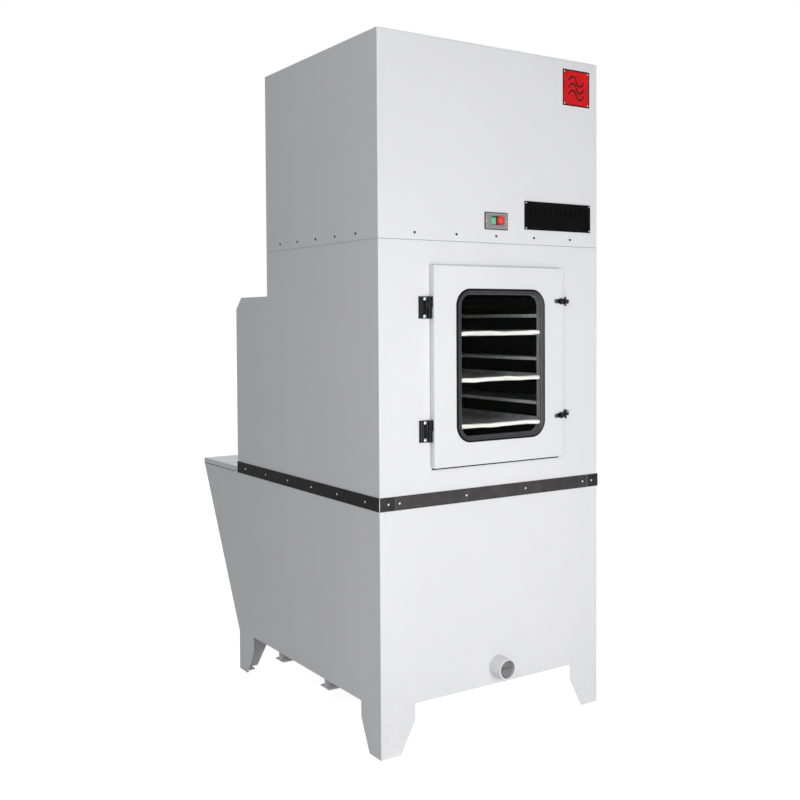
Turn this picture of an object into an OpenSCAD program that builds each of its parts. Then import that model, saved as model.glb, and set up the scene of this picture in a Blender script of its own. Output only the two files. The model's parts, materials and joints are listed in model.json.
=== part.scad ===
// Wet dust collector: a fan section on a washing tower on a water tank with a sloped back.
// Millimetres, +Z up, the door faces -Y. The origin is on the floor, under the middle of the outline.

/* [Cabinet] */
// Width across the side panels
cabinet_w = 1000; // [980:10:1040]
// Height of the roof above the floor
cabinet_h = 2480; // [2460:10:2600]
// Depth of the fan section and the washing tower
tower_d = 850; // [845:5:870]
// Depth of the tower with the air plenum behind it
washer_d = 1150; // [1140:5:1180]
// Thickness of the sheet metal
sheet = 2; // [1.5:0.5:2.5]
// Height of the seam under the fan section
seam_z = 1777; // [1770:1:1785]
// Height of the joint between the tank and the washing section
joint_z = 875; // [870:1:880]
// Height of the plenum roof
plenum_z = 1600; // [1590:5:1620]
// Size of the chamfer along the plenum roof
plenum_chamfer = 50; // [40:5:60]

/* [Tank] */
// Height of the tank floor
floor_z = 170; // [160:5:180]
// Depth at the back edge of the tank's rim
tank_d = 1520; // [1500:5:1560]
// Height of the tank's rim behind the tower
rim_z = 851; // [845:1:852]
// Width of a leg, on the front
leg_w = 141; // [130:1:150]
// Width of a leg's foot, on the front
leg_foot_w = 80; // [75:1:90]
// Width of a leg, on the side
side_leg_w = 131; // [125:1:145]
// Width of a leg's foot, on the side
side_foot_w = 77; // [75:1:90]
// Width of a rear leg, on the side
rear_leg_w = 140; // [130:1:150]
// Width of a rear leg's foot, on the side
rear_foot_w = 80; // [75:1:90]
// Height at which a leg starts to taper
leg_taper_z = 112; // [90:1:130]
// Width of a foot plate
foot_w = 44; // [40:1:60]
// Radius of the anchor holes
anchor_r = 7; // [5:0.5:8]
// Height and width of the beams under the tank
beam_size = [66, 56]; // [40:1:70]

/* [Drain] */
// Position of the drain across the front, and its height
drain_at = [4, 236]; // [0:1:300]
// Outer radius of the drain socket
socket_r = 38.5; // [36:0.5:42]
// Length of the drain socket in front of the tank
socket_out = 61; // [50:1:70]
// Radius of the drain plug
plug_r = 32; // [26:0.5:32]

/* [Door] */
// Left and right edges of the door
door_x = [-290, 303]; // [-310:1:320]
// Bottom and top edges of the door
door_z = [985, 1690]; // [970:1:1700]
// How far the door stands out
door_t = 25; // [22:1:30]
// Left and right edges of the window gasket
gasket_x = [-195, 212]; // [-200:1:220]
// Bottom and top edges of the window gasket
gasket_z = [1066, 1611]; // [1060:1:1620]
// Visible width of the window gasket
gasket_w = 21; // [20:1:26]
// Outer corner radius of the window gasket
gasket_r = 62; // [55:1:70]
// Thickness of the window glass
glass_t = 5; // [4:0.5:6]
// Heights of the middles of the two hinges
hinge_z = [1114.5, 1544]; // [1100:0.5:1600]
// Height of a hinge
hinge_h = 77; // [70:1:90]
// Heights of the middles of the two latches
latch_z = [1142, 1568]; // [1100:1:1600]
// Tilt of each latch
latch_tilt = [6, 0]; // [0:1:8]

/* [Trays] */
// Heights of the left trays
left_tray_z = [1113, 1278, 1443]; // [1100:1:1460]
// Heights of the right trays
right_tray_z = [1183, 1348, 1509]; // [1170:1:1530]
// Free edge of the left trays
left_tray_edge = 250; // [230:5:300]
// Free edge of the right trays
right_tray_edge = 200; // [180:5:220]
// Height of the lip along a left tray's free edge
tray_lip = 18; // [12:1:25]
// Height of the lip along a right tray's free edge
right_lip = 12; // [8:1:20]

/* [Fan section] */
// Left and right edges of the switch plate
switch_x = [-50, 56]; // [-60:1:60]
// Bottom and top edges of the switch plate
switch_z = [1825, 1888]; // [1820:1:1900]
// Left and right edges of the vent grille
grille_x = [136, 462]; // [130:1:470]
// Bottom and top edges of the vent grille
grille_z = [1832, 1937]; // [1825:1:1940]
// Number of slots in the vent grille
grille_slots = 12; // [8:1:12]
// Left and right edges of the nameplate
badge_x = [325, 459]; // [320:1:465]
// Bottom and top edges of the nameplate
badge_z = [2309, 2445]; // [2300:1:2455]
// Radius of the fan wheel
fan_r = 240; // [220:5:245]
// Number of blades on the fan wheel
fan_blades = 9; // [6:1:12]

/* [Air connections] */
// Radius of the bore in each inlet socket
inlet_r = 100; // [80:5:105]
// Distance of each inlet socket from the middle
inlet_x = 220; // [200:5:250]
// Height of the inlet sockets
inlet_z = 1400; // [1395:5:1410]
// Length of each inlet socket
inlet_l = 80; // [60:5:100]
// Left and right sides of the outlet duct, inside
outlet_x = [35, 235]; // [20:5:250]
// Bottom and top of the outlet duct, inside
outlet_z = [1784, 1984]; // [1784:1:2000]
// Length of the outlet duct behind the fan section
outlet_l = 40; // [30:5:80]

/* [Hidden] */
$fn = 64;

half_w = cabinet_w / 2;
inner_w = half_w - sheet;
gap = 0.4;
strip_h = 48;
strip_t = 3;
strip_wrap = [60, 55];
strip_z = [joint_z - strip_h / 2, joint_z + strip_h / 2];
seam_gap = 1;
plenum_corner_z = plenum_z - plenum_chamfer;

// The tank's back leans outwards from its foot to the rim
slope_z0 = floor_z - 7;
slope_run = tank_d - washer_d;
slope_rise = rim_z - slope_z0;
slope_len = sqrt(slope_run * slope_run + slope_rise * slope_rise);
slope_t = sheet * slope_len / slope_rise;

// The hatch behind the tower: a fixed ledge, then the hinged lid
ledge_d = 28;
lid_y = [washer_d + ledge_d + 1.3, tank_d + 1];
lid_z = [rim_z + 2.6, joint_z];
rim_seal = [6, 2.2];
lid_hinge_r = 5;
lid_axis = [washer_d + ledge_d + 0.5, joint_z + lid_hinge_r];
lid_hinge_x = 300;
lid_hinge_l = 60;
lid_knuckle_l = 20;
lid_strap_t = 2.5;
lid_pin_r = 2;
handle_x = 55;
handle_r = 5;
handle_out = 30;

rear_leg_y = washer_d - 3 * sheet;
beam_y = [448, 830];
foot_y = [sheet, rear_leg_y - sheet - foot_w];
back_out = lid_y[1] + handle_out;
y_mid = (back_out - socket_out) / 2;

// Door hinges: a pin standing beside the door's left edge
hinge_axis = [door_x[0] - 9.5, -9];
knuckle_r = 6.5;
pin_r = 3;
hinge_leaf_x = [-338, -306];
hinge_leaf_t = 4;
hinge_screw_x = -314.8;
hinge_head = [6, 2.5];
hinge_screw_dz = 30;

// Latches: a pivoting arm on the door whose crossbar lies behind a forked keeper
latch_pivot = [-12, -33];
crossbar_at = [15, -24];
crossbar_r = 3.5;
crossbar_l = 35;
latch_x = 300;
arm_h = 12;
tine_x = [6, 10.2];
keeper_screw_x = 47;
base_screw_x = -32;
latch_pin_r = 2.5;
latch_head = [5.5, 2.5];
pad_t = 3;

window_hole_in = 12;
hole_x = [gasket_x[0] + window_hole_in, gasket_x[1] - window_hole_in];
hole_z = [gasket_z[0] + window_hole_in, gasket_z[1] - window_hole_in];
gasket_y = [-door_t - 4.5, -door_t + 6.5];
glass_y = [-door_t - 1.5, -door_t - 1.5 + glass_t];
glass_grip = 8;
retainer_back = -1.5;
door_opening_x = [-249, 263];
door_opening_z = [1025, 1650];

tray_front = sheet + 0.2;
pump_at = [350, 1000];
wash_pipe_r = 17;
wash_pipe_z = 1570;

top_z = [seam_z + seam_gap / 2, cabinet_h - sheet];
switch_hole_in = 5;
grille_hole_in = 14;
start_x = [-21.5, -0.2];
stop_x = [0.6, 31.5];
button_z = [1843, 1874];
plate_t = 4;
badge_t = 1.5;

fan_at = [-70, 400];
scroll_r = 320;
deck_z = seam_z - 1;
deck_t = 3;
deck_top = deck_z + deck_t;
deck_hole_r = 205;
scroll_z = [deck_top, 1989];
shaft_r = 19;
wheel_t = 3;
wheel_eye_r = 152;
motor_z = scroll_z[1] + 8;
wheel_z = [deck_z + 34, scroll_z[1] - 24];

// ---- helpers ------------------------------------------------------------------------------------

module placed() {
    translate([0, -y_mid, 0]) children();
}

// A box between two corners
module block(a, b) {
    translate(a) cube(b - a);
}

// A plate standing in the XZ plane, from y towards the front by t
module front_plate(y, t) {
    translate([0, y, 0]) rotate([90, 0, 0]) linear_extrude(t) children();
}

// A plate standing in the YZ plane, from x towards +X by t
module side_plate(x, t) {
    translate([x, 0, 0]) rotate([90, 0, 90]) linear_extrude(t) children();
}

// A flat rectangle between two corners
module rect(x, y) {
    translate([x[0], y[0]]) square([x[1] - x[0], y[1] - y[0]]);
}

// A flat rectangle with round corners
module round_rect(x, y, r) {
    rect([x[0] + r, x[1] - r], y);
    rect(x, [y[0] + r, y[1] - r]);
    for (cx = [x[0] + r, x[1] - r], cy = [y[0] + r, y[1] - r])
        translate([cx, cy]) circle(r);
}

// The head of a pan-head screw or a rivet, pointing to the front
module front_head(x, y, z, r, h) {
    translate([x, y, z]) rotate([90, 0, 0]) cylinder(h = h, r1 = r, r2 = r * 0.7, $fn = 24);
}

// The head of a screw on a side panel: side is -1 on the left, 1 on the right
module side_head(side, y, z, r, h, x = half_w) {
    translate([side * x, y, z]) rotate([0, side * 90, 0]) cylinder(h = h, r1 = r, r2 = r * 0.7, $fn = 24);
}

// ---- tank ---------------------------------------------------------------------------------------

// The outline of a sheet with two tapered legs at its ends
module legged_outline(half, top, leg, foot) {
    polygon([[-half, 0], [-half + foot, 0], [-half + leg, leg_taper_z], [-half + leg, floor_z],
             [half - leg, floor_z], [half - leg, leg_taper_z], [half - foot, 0], [half, 0],
             [half, top], [-half, top]]);
}

module tank_front_panel() {
    color("white") placed() difference() {
        front_plate(sheet, sheet) legged_outline(half_w, joint_z, leg_w, leg_foot_w);
        translate([drain_at[0], 0, drain_at[1]]) rotate([90, 0, 0])
            cylinder(h = 20, r = socket_r, center = true);
    }
}

// The side of the tank from front leg to sloped back, with both of its legs
module tank_side_outline() {
    rear_in = washer_d - rear_leg_w;
    rear_foot_in = washer_d - rear_foot_w;
    polygon([[sheet, 0], [side_foot_w, 0], [side_leg_w, leg_taper_z], [side_leg_w, floor_z],
             [rear_in, floor_z], [rear_in, leg_taper_z], [rear_foot_in, 0], [washer_d, 0],
             [washer_d, slope_z0], [tank_d, rim_z], [washer_d, rim_z], [washer_d, joint_z],
             [sheet, joint_z]]);
}

module tank_left_panel() {
    color("white") placed() side_plate(-half_w, sheet) tank_side_outline();
}

module tank_right_panel() {
    color("white") placed() side_plate(inner_w, sheet) tank_side_outline();
}

module tank_sloped_back() {
    color("white") placed() side_plate(-inner_w, 2 * inner_w)
        polygon([[washer_d - slope_t, slope_z0], [washer_d, slope_z0], [tank_d, rim_z],
                 [tank_d - slope_t, rim_z]]);
}

module tank_floor() {
    floor_t = 3;
    floor_back = washer_d - slope_t + (floor_z - slope_z0) * slope_run / slope_rise;
    color("white") placed() block([-inner_w, sheet, floor_z], [inner_w, floor_back, floor_z + floor_t]);
}

// The rear legs' cross sheets, and two I-beams that carry the tank floor
module tank_underframe() {
    rear_leg_sheets();
    cross_beams();
}

module rear_leg_sheets() {
    color("white") placed() for (side = [0, 1]) mirror([side, 0, 0])
        front_plate(rear_leg_y, sheet)
            polygon([[-inner_w, 0], [-half_w + leg_foot_w, 0], [-half_w + leg_w, leg_taper_z],
                     [-half_w + leg_w, floor_z], [-inner_w, floor_z]]);
}

module cross_beams() {
    beam_half = half_w - 30;
    half_d = beam_size[0] / 2;
    flange_t = 5;
    bottom = floor_z - beam_size[1];
    color("white") placed() for (y = beam_y) {
        for (z = [bottom, floor_z - flange_t])
            block([-beam_half, y - half_d, z], [beam_half, y + half_d, z + flange_t]);
        block([-beam_half, y - flange_t / 2, bottom], [beam_half, y + flange_t / 2, floor_z]);
    }
}

module foot_plates() {
    foot_t = 5;
    color("white") placed() for (x = [-inner_w, inner_w - foot_w], y = foot_y)
        translate([x, y, 0]) difference() {
            cube([foot_w, foot_w, foot_t]);
            translate([foot_w / 2, foot_w / 2, -1]) cylinder(h = foot_t + 2, r = anchor_r);
        }
}

// The fixed ledge between the tower and the lid, folded down all round, with the lid's fixed knuckles
module rear_ledge() {
    foot_d = 9;
    color("white") placed() {
        difference() {
            block([-half_w, washer_d, rim_z], [half_w, washer_d + ledge_d, joint_z]);
            block([-inner_w, washer_d - 1, rim_z - 1],
                  [inner_w, washer_d + ledge_d - sheet, joint_z - sheet]);
        }
        for (x = [-lid_hinge_x, lid_hinge_x]) difference() {
            union() {
                lid_knuckle(x - lid_knuckle_l / 2, lid_knuckle_l);
                block([x - lid_knuckle_l / 2, washer_d + ledge_d - foot_d, joint_z],
                      [x + lid_knuckle_l / 2, lid_axis[0], joint_z + lid_strap_t]);
            }
            lid_pin(x);
        }
    }
}

// A knuckle of the lid's hinge, from x along the hinge's axis
module lid_knuckle(x, length) {
    translate([x, lid_axis[0], lid_axis[1]]) rotate([0, 90, 0])
        cylinder(h = length, r = lid_hinge_r - gap, $fn = 32);
}

// The pin of the lid's hinge, or the hole for it with some play
module lid_pin(x, play = 0) {
    translate([x - lid_hinge_l / 2, lid_axis[0], lid_axis[1]]) rotate([0, 90, 0])
        cylinder(h = lid_hinge_l, r = lid_pin_r + play, $fn = 32);
}

// Rubber trim on the rim that the lid closes on: left, right and back
module tank_rim_seal() {
    side_y = [lid_y[0], tank_d - rim_seal[0] - 0.5];
    color("black") placed() {
        for (x = [-half_w, half_w - rim_seal[0]])
            block([x, side_y[0], rim_z], [x + rim_seal[0], side_y[1], rim_z + rim_seal[1]]);
        block([-half_w, tank_d - rim_seal[0] - 0.4, rim_z], [half_w, tank_d - 0.4, rim_z + rim_seal[1]]);
    }
}

// ---- drain --------------------------------------------------------------------------------------

module at_drain() {
    placed() translate([drain_at[0], 0, drain_at[1]]) rotate([90, 0, 0]) children();
}

module drain_socket() {
    socket_in = 14;
    color("white") at_drain() translate([0, 0, -socket_in]) difference() {
        cylinder(h = socket_in + socket_out, r = socket_r);
        translate([0, 0, -1]) cylinder(h = socket_in + socket_out + 2, r = plug_r + 0.3);
    }
}

module drain_plug() {
    plug_l = 34;
    face = socket_out - 6;
    bar = [40, 9, 4];
    color("gray") at_drain() {
        translate([0, 0, face - plug_l]) cylinder(h = plug_l, r = plug_r);
        translate([-bar[0] / 2, -bar[1] / 2, face]) cube(bar);
    }
}

// ---- lid over the tank's back -------------------------------------------------------------------

module tank_lid() {
    color("white") placed() difference() {
        block([-half_w, lid_y[0], lid_z[0]], [half_w, lid_y[1], lid_z[1]]);
        block([-inner_w, lid_y[0] + sheet, lid_z[0] - 1], [inner_w, lid_y[1] - sheet, lid_z[1] - sheet]);
    }
}

// The lid's two hinge straps and its handle
module lid_fittings() {
    lid_straps();
    lid_handle();
}

// Two straps, each with a knuckle on both sides of the fixed one
module lid_straps() {
    strap_d = 36;
    clear_d = lid_hinge_r + gap;
    side_l = (lid_hinge_l - lid_knuckle_l) / 2 - gap;
    color("silver") placed() for (x = [-lid_hinge_x, lid_hinge_x]) difference() {
        union() {
            for (start = [x - lid_hinge_l / 2, x + lid_hinge_l / 2 - side_l]) {
                lid_knuckle(start, side_l);
                block([start, lid_axis[0], joint_z],
                      [start + side_l, lid_axis[0] + clear_d + 1, joint_z + lid_strap_t]);
            }
            block([x - lid_hinge_l / 2, lid_axis[0] + clear_d, joint_z],
                  [x + lid_hinge_l / 2, lid_axis[0] + strap_d, joint_z + lid_strap_t]);
        }
        lid_pin(x, 0.05);
    }
}

// A bow on the lid's back edge
module lid_handle() {
    z = (lid_z[0] + lid_z[1]) / 2;
    y = lid_y[1] + handle_out - handle_r;
    color("silver") placed() {
        for (x = [-handle_x, handle_x])
            translate([x, lid_y[1], z]) rotate([-90, 0, 0])
                cylinder(h = handle_out - handle_r, r = handle_r, $fn = 32);
        translate([-handle_x, y, z]) rotate([0, 90, 0]) cylinder(h = 2 * handle_x, r = handle_r, $fn = 32);
        for (x = [-handle_x, handle_x])
            translate([x, y, z]) sphere(r = handle_r, $fn = 32);
    }
}

// ---- joint strip --------------------------------------------------------------------------------

module joint_strip_front() {
    color("dimgray") placed()
        block([-half_w + strip_wrap[0] + gap, -strip_t, strip_z[0]],
              [half_w - strip_wrap[1] - gap, 0, strip_z[1]]);
}

// A side strip that runs round the front corner: the left one, from above
module strip_outline(wrap) {
    rect([-half_w - strip_t, -half_w], [0, washer_d]);
    rect([-half_w, -half_w + wrap], [-strip_t, 0]);
    difference() {
        translate([-half_w, 0]) circle(strip_t);
        rect([-half_w, -half_w + 2 * strip_t], [-2 * strip_t, 2 * strip_t]);
        rect([-half_w - 2 * strip_t, -half_w + 1], [0, 2 * strip_t]);
    }
}

module joint_strip_sides() {
    color("dimgray") placed() translate([0, 0, strip_z[0]]) linear_extrude(strip_h) {
        strip_outline(strip_wrap[0]);
        mirror([1, 0]) strip_outline(strip_wrap[1]);
    }
}

// All zinc-plated screws and rivets on the outside
module bright_fasteners() {
    joint_strip_screws();
    hinge_and_keeper_screws();
    trim_rivets();
}

module joint_strip_screws() {
    head = [4, 2];
    color("silver") placed() {
        for (x = [-467, -421.5, -136.5, 136.5, 421.5, 467])
            front_head(x, -strip_t, joint_z, head[0], head[1]);
        for (side = [-1, 1], n = [0:5])
            side_head(side, 91 + n * 195, joint_z, head[0], head[1], half_w + strip_t);
    }
}

// ---- washing section ----------------------------------------------------------------------------

module washer_front_panel() {
    color("white") placed() front_plate(sheet, sheet) difference() {
        rect([-half_w, half_w], [joint_z, seam_z - seam_gap / 2]);
        rect(door_opening_x, door_opening_z);
    }
}

// Tower and plenum in one sheet, stepped down and chamfered at the back
module washer_side_outline() {
    top = seam_z - seam_gap / 2;
    polygon([[sheet, joint_z], [washer_d, joint_z], [washer_d, plenum_corner_z],
             [washer_d - plenum_chamfer, plenum_z], [tower_d, plenum_z], [tower_d, top], [sheet, top]]);
}

module washer_left_panel() {
    color("white") placed() side_plate(-half_w, sheet) washer_side_outline();
}

module washer_right_panel() {
    color("white") placed() side_plate(inner_w, sheet) washer_side_outline();
}

// The tower's back, which hangs down inside as a baffle and leaves a throat over the water
module plenum_partition() {
    throat_z = 1000;
    color("white") placed() front_plate(tower_d, sheet) difference() {
        rect([-inner_w, inner_w], [throat_z, seam_z - seam_gap / 2]);
        translate([pump_at[0], wash_pipe_z]) circle(wash_pipe_r + 2);
    }
}

// The plenum's back, with a doubler ring round each inlet
module plenum_back_panel() {
    ring_w = 25;
    ring_t = 3;
    color("white") placed() difference() {
        union() {
            front_plate(washer_d, sheet) rect([-inner_w, inner_w], [joint_z, plenum_corner_z]);
            for (x = [-inlet_x, inlet_x])
                front_plate(washer_d + ring_t, ring_t + 1) translate([x, inlet_z]) circle(inlet_r + ring_w);
        }
        for (x = [-inlet_x, inlet_x])
            translate([x, washer_d, inlet_z]) rotate([90, 0, 0])
                cylinder(h = 20, r = inlet_r + sheet, center = true);
    }
}

module plenum_roof() {
    fold_in = sheet * tan(22.5);
    color("white") placed() side_plate(-inner_w, 2 * inner_w)
        polygon([[tower_d, plenum_z], [washer_d - plenum_chamfer, plenum_z], [washer_d, plenum_corner_z],
                 [washer_d - sheet * sqrt(2), plenum_corner_z],
                 [washer_d - plenum_chamfer - fold_in, plenum_z - sheet], [tower_d, plenum_z - sheet]]);
}

// Two rolled collars, each welded into the plenum's back
module inlet_sockets() {
    color("white") placed() for (x = [-inlet_x, inlet_x])
        translate([x, washer_d - sheet, inlet_z]) rotate([-90, 0, 0]) difference() {
            cylinder(h = inlet_l + sheet, r = inlet_r + sheet);
            translate([0, 0, -1]) cylinder(h = inlet_l + sheet + 2, r = inlet_r);
        }
}

// Shelves that the water runs over, each with a lip along its free edge
module tray(x, z, lip_x, lip_h) {
    block([x[0], tray_front, z], [x[1], tower_d - sheet, z + sheet]);
    block([lip_x, tray_front, z], [lip_x + sheet, tower_d - sheet, z + lip_h]);
}

module left_trays() {
    color("dimgray") placed() for (z = left_tray_z)
        tray([-inner_w, left_tray_edge], z, left_tray_edge - sheet, tray_lip);
}

module right_trays() {
    color("gray") placed() for (z = right_tray_z)
        tray([right_tray_edge, inner_w], z, right_tray_edge, right_lip);
}

// Zigzag vanes between two end plates, just under the fan deck
module mist_eliminator() {
    z = seam_z - 105;
    vane_h = 80;
    vane_pitch = 34;
    vane_t = 1.5;
    vane_run = 22;
    vane_count = 28;
    plate_t = 3;
    start = -vane_count * vane_pitch / 2;
    vane_y = [sheet + plate_t, tower_d - sheet - plate_t];
    color("lightgray") placed() {
        for (n = [0:vane_count - 1])
            front_plate(vane_y[1], vane_y[1] - vane_y[0]) translate([start + n * vane_pitch, z])
                polygon([[0, 0], [vane_t, 0], [vane_run + vane_t, vane_h / 2], [vane_t, vane_h], [0, vane_h],
                         [vane_run, vane_h / 2]]);
        for (y = [vane_y[0], vane_y[1] + plate_t])
            front_plate(y, plate_t) rect([start - 2, -start + 2], [z, z + vane_h]);
    }
}

// Riser from the pump, and the bar that wets the top tray
module wash_pipe() {
    riser_z = 400;
    bar_front = 90;
    nozzle_pitch = 120;
    color("silver") placed() {
        translate([pump_at[0], pump_at[1], riser_z]) cylinder(h = wash_pipe_z - riser_z, r = wash_pipe_r);
        translate([pump_at[0], pump_at[1], wash_pipe_z]) sphere(r = wash_pipe_r);
        translate([pump_at[0], pump_at[1], wash_pipe_z]) rotate([90, 0, 0])
            cylinder(h = pump_at[1] - bar_front, r = wash_pipe_r);
        for (n = [0:5])
            translate([pump_at[0], bar_front + 40 + n * nozzle_pitch, wash_pipe_z - wash_pipe_r - 10])
                cylinder(h = 20, r1 = 9, r2 = 6, $fn = 24);
    }
}

module circulation_pump() {
    strainer_r = 80;
    body_r = 65;
    bottom = floor_z + 3;
    color("darkslategray") placed() translate([pump_at[0], pump_at[1], bottom]) {
        cylinder(h = 45, r = strainer_r);
        cylinder(h = 200, r = body_r);
        cylinder(h = 400 - bottom, r = 28);
    }
}

// ---- hinges and latches -------------------------------------------------------------------------

// Cabinet side of both hinges: ribbed leaf with the lower knuckle
module hinge_leaves() {
    rib = [3, 1.2];
    color([0.1, 0.1, 0.1]) placed() for (z = hinge_z) translate([0, 0, z - hinge_h / 2]) difference() {
        union() {
            block([hinge_leaf_x[0], -hinge_leaf_t, 0], [hinge_leaf_x[1], 0, hinge_h]);
            for (x = [hinge_leaf_x[0] + 7, hinge_leaf_x[0] + 14])
                block([x, -hinge_leaf_t - rib[1], 0], [x + rib[0], -hinge_leaf_t + 1, hinge_h]);
            block([hinge_leaf_x[1] - 1, -6, 0], [hinge_axis[0], 0, hinge_h / 2 - gap / 2]);
            translate([hinge_axis[0], hinge_axis[1], 0]) cylinder(h = hinge_h / 2 - gap / 2, r = knuckle_r);
        }
        translate([hinge_axis[0], hinge_axis[1], -1]) cylinder(h = hinge_h + 2, r = pin_r);
    }
}

// The pins of the door's hinges and of the lid's hinges
module hinge_pins() {
    color("silver") placed() {
        for (z = hinge_z)
            translate([hinge_axis[0], hinge_axis[1], z - hinge_h / 2]) cylinder(h = hinge_h, r = pin_r);
        for (x = [-lid_hinge_x, lid_hinge_x])
            lid_pin(x);
    }
}

// Door side of both hinges: upper knuckle and a leaf against the door's left edge
module door_hinge_leaves() {
    leaf_x = [hinge_axis[0] + knuckle_r + 0.4, door_x[0]];
    mid = hinge_h / 2 + gap / 2;
    color([0.1, 0.1, 0.1]) placed() for (z = hinge_z) translate([0, 0, z - hinge_h / 2]) difference() {
        union() {
            block([leaf_x[0], -14.5, 0], [leaf_x[1], -4.5, mid + 1]);
            block([leaf_x[0], -20, mid], [leaf_x[1], -4.5, hinge_h]);
            block([hinge_axis[0], -13, mid], [leaf_x[0] + 1, -6, hinge_h]);
            translate([hinge_axis[0], hinge_axis[1], mid]) cylinder(h = hinge_h - mid, r = knuckle_r);
        }
        translate([hinge_axis[0], hinge_axis[1], -1]) cylinder(h = hinge_h + 2, r = pin_r + 0.05);
    }
}

// The frame of one latch: n is 0 for the lower and 1 for the upper
module at_latch(n) {
    placed() translate([latch_x, 0, latch_z[n]]) rotate([0, -latch_tilt[n], 0]) children();
}

// A slab standing across the latch, from z0 up by h, with its outline seen from above
module latch_slab(z0, h) {
    translate([0, 0, z0]) linear_extrude(h) children();
}

// A flat pad with one round end, lying against the sheet behind it
module latch_pad(x, round_x, y, t) {
    pad_r = 8;
    front_plate(y, t) {
        rect([min(x, round_x), max(x, round_x)], [-pad_r, pad_r]);
        translate([round_x, 0]) circle(pad_r);
    }
}

module latch_bases() {
    ear = [5, 4];
    color([0.1, 0.1, 0.1]) for (n = [0, 1]) at_latch(n) {
        latch_pad(-6, base_screw_x, -door_t, pad_t);
        for (z = [arm_h / 2 + 0.4, -arm_h / 2 - 0.4 - ear[1]])
            latch_slab(z, ear[1]) {
                translate(latch_pivot) circle(ear[0]);
                rect([latch_pivot[0] - ear[0], latch_pivot[0] + ear[0]], [latch_pivot[1], -door_t - 2]);
            }
        translate([latch_pivot[0], latch_pivot[1], -arm_h])
            cylinder(h = 2 * arm_h, r = latch_pin_r, $fn = 32);
        front_head(base_screw_x, -door_t - pad_t, 0, latch_head[0], latch_head[1]);
    }
}

// The arm with its crossbar and pull tab, in the latch's own frame
module latch_arm() {
    eye_r = 4.5;
    tab = [9, 9];
    eye = [latch_pivot[1] - eye_r, latch_pivot[1] + eye_r];
    bar = crossbar_at;
    difference() {
        union() {
            latch_slab(-arm_h / 2, arm_h) {
                translate(latch_pivot) circle(eye_r);
                polygon([[latch_pivot[0], eye[0]], bar + [1, -tab[1] + 3], bar + [tab[0], -tab[1]],
                         bar + [tab[0], -tab[1] + 3], bar + [0, crossbar_r], bar - [crossbar_r, 0],
                         [latch_pivot[0] + 8, eye[1]], [latch_pivot[0], eye[1]]]);
            }
            translate([bar[0], bar[1], -crossbar_l / 2]) cylinder(h = crossbar_l, r = crossbar_r, $fn = 32);
        }
        translate([latch_pivot[0], latch_pivot[1], -arm_h])
            cylinder(h = 2 * arm_h, r = latch_pin_r + 0.05, $fn = 32);
    }
}

module lower_latch_arm() {
    color([0.08, 0.08, 0.08]) at_latch(0) latch_arm();
}

module upper_latch_arm() {
    color([0.08, 0.08, 0.08]) at_latch(1) latch_arm();
}

// Forked keepers on the cabinet: the arm lies between the two tines
module latch_keepers() {
    tine_h = 4.5;
    slot = arm_h / 2 + 0.8;
    color([0.1, 0.1, 0.1]) for (n = [0, 1]) at_latch(n) {
        latch_pad(tine_x[0], keeper_screw_x, 0, pad_t);
        for (z = [slot, -slot - tine_h])
            latch_slab(z, tine_h) rect(tine_x, [-31, -1]);
        block([tine_x[0], -5, -slot - 1], [tine_x[1], -1, slot + 1]);
    }
}

module hinge_and_keeper_screws() {
    color("silver") {
        placed() for (z = hinge_z, dz = [-hinge_screw_dz, hinge_screw_dz])
            front_head(hinge_screw_x, -hinge_leaf_t, z + dz, hinge_head[0], hinge_head[1]);
        for (n = [0, 1]) at_latch(n) front_head(keeper_screw_x, -pad_t, 0, latch_head[0], latch_head[1]);
    }
}

// ---- door ---------------------------------------------------------------------------------------

// A folded pan with a window hole and a return flange all round its back
module door_panel() {
    back = -3;
    fold = 28;
    inner_x = [door_x[0] + sheet, door_x[1] - sheet];
    inner_z = [door_z[0] + sheet, door_z[1] - sheet];
    color("white") placed() {
        front_plate(-door_t + sheet, sheet) difference() {
            rect(door_x, door_z);
            round_rect(hole_x, hole_z, gasket_r - window_hole_in);
        }
        front_plate(back, door_t - sheet + back) difference() {
            rect(door_x, door_z);
            rect(inner_x, inner_z);
        }
        front_plate(back, sheet) difference() {
            rect(door_x, door_z);
            rect([door_x[0] + fold, door_x[1] - fold], [door_z[0] + fold, door_z[1] - fold]);
        }
    }
}

module gasket_outline() {
    round_rect(gasket_x, gasket_z, gasket_r);
}

module window_outline(grip = 0) {
    round_rect([gasket_x[0] + gasket_w - grip, gasket_x[1] - gasket_w + grip],
               [gasket_z[0] + gasket_w - grip, gasket_z[1] - gasket_w + grip], gasket_r - gasket_w + grip);
}

// Rubber that grips the door sheet on its outside and the glass on its inside
module window_gasket() {
    skin_y = [-door_t, -door_t + sheet];
    color([0.08, 0.08, 0.08]) placed() {
        for (y = [[gasket_y[0], glass_y[0]], [glass_y[1], gasket_y[1]]])
            front_plate(y[1], y[1] - y[0]) difference() {
                gasket_outline();
                window_outline();
            }
        for (y = [[glass_y[0], skin_y[0]], [skin_y[1], glass_y[1]]])
            front_plate(y[1], y[1] - y[0]) difference() {
                gasket_outline();
                window_outline(glass_grip);
            }
        front_plate(skin_y[1], sheet) difference() {
            round_rect(hole_x, hole_z, gasket_r - window_hole_in);
            window_outline(glass_grip);
        }
    }
}

module window_glass() {
    color([0.7, 0.8, 0.85, 0.4]) placed() front_plate(glass_y[1], glass_t) window_outline(glass_grip);
}

// Deep frame that holds the glass from behind and lines the window opening
module window_retainer() {
    band = glass_grip + 2;
    color("gray") placed() front_plate(retainer_back, retainer_back - gasket_y[1]) difference() {
        window_outline(band);
        window_outline();
    }
}

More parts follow.
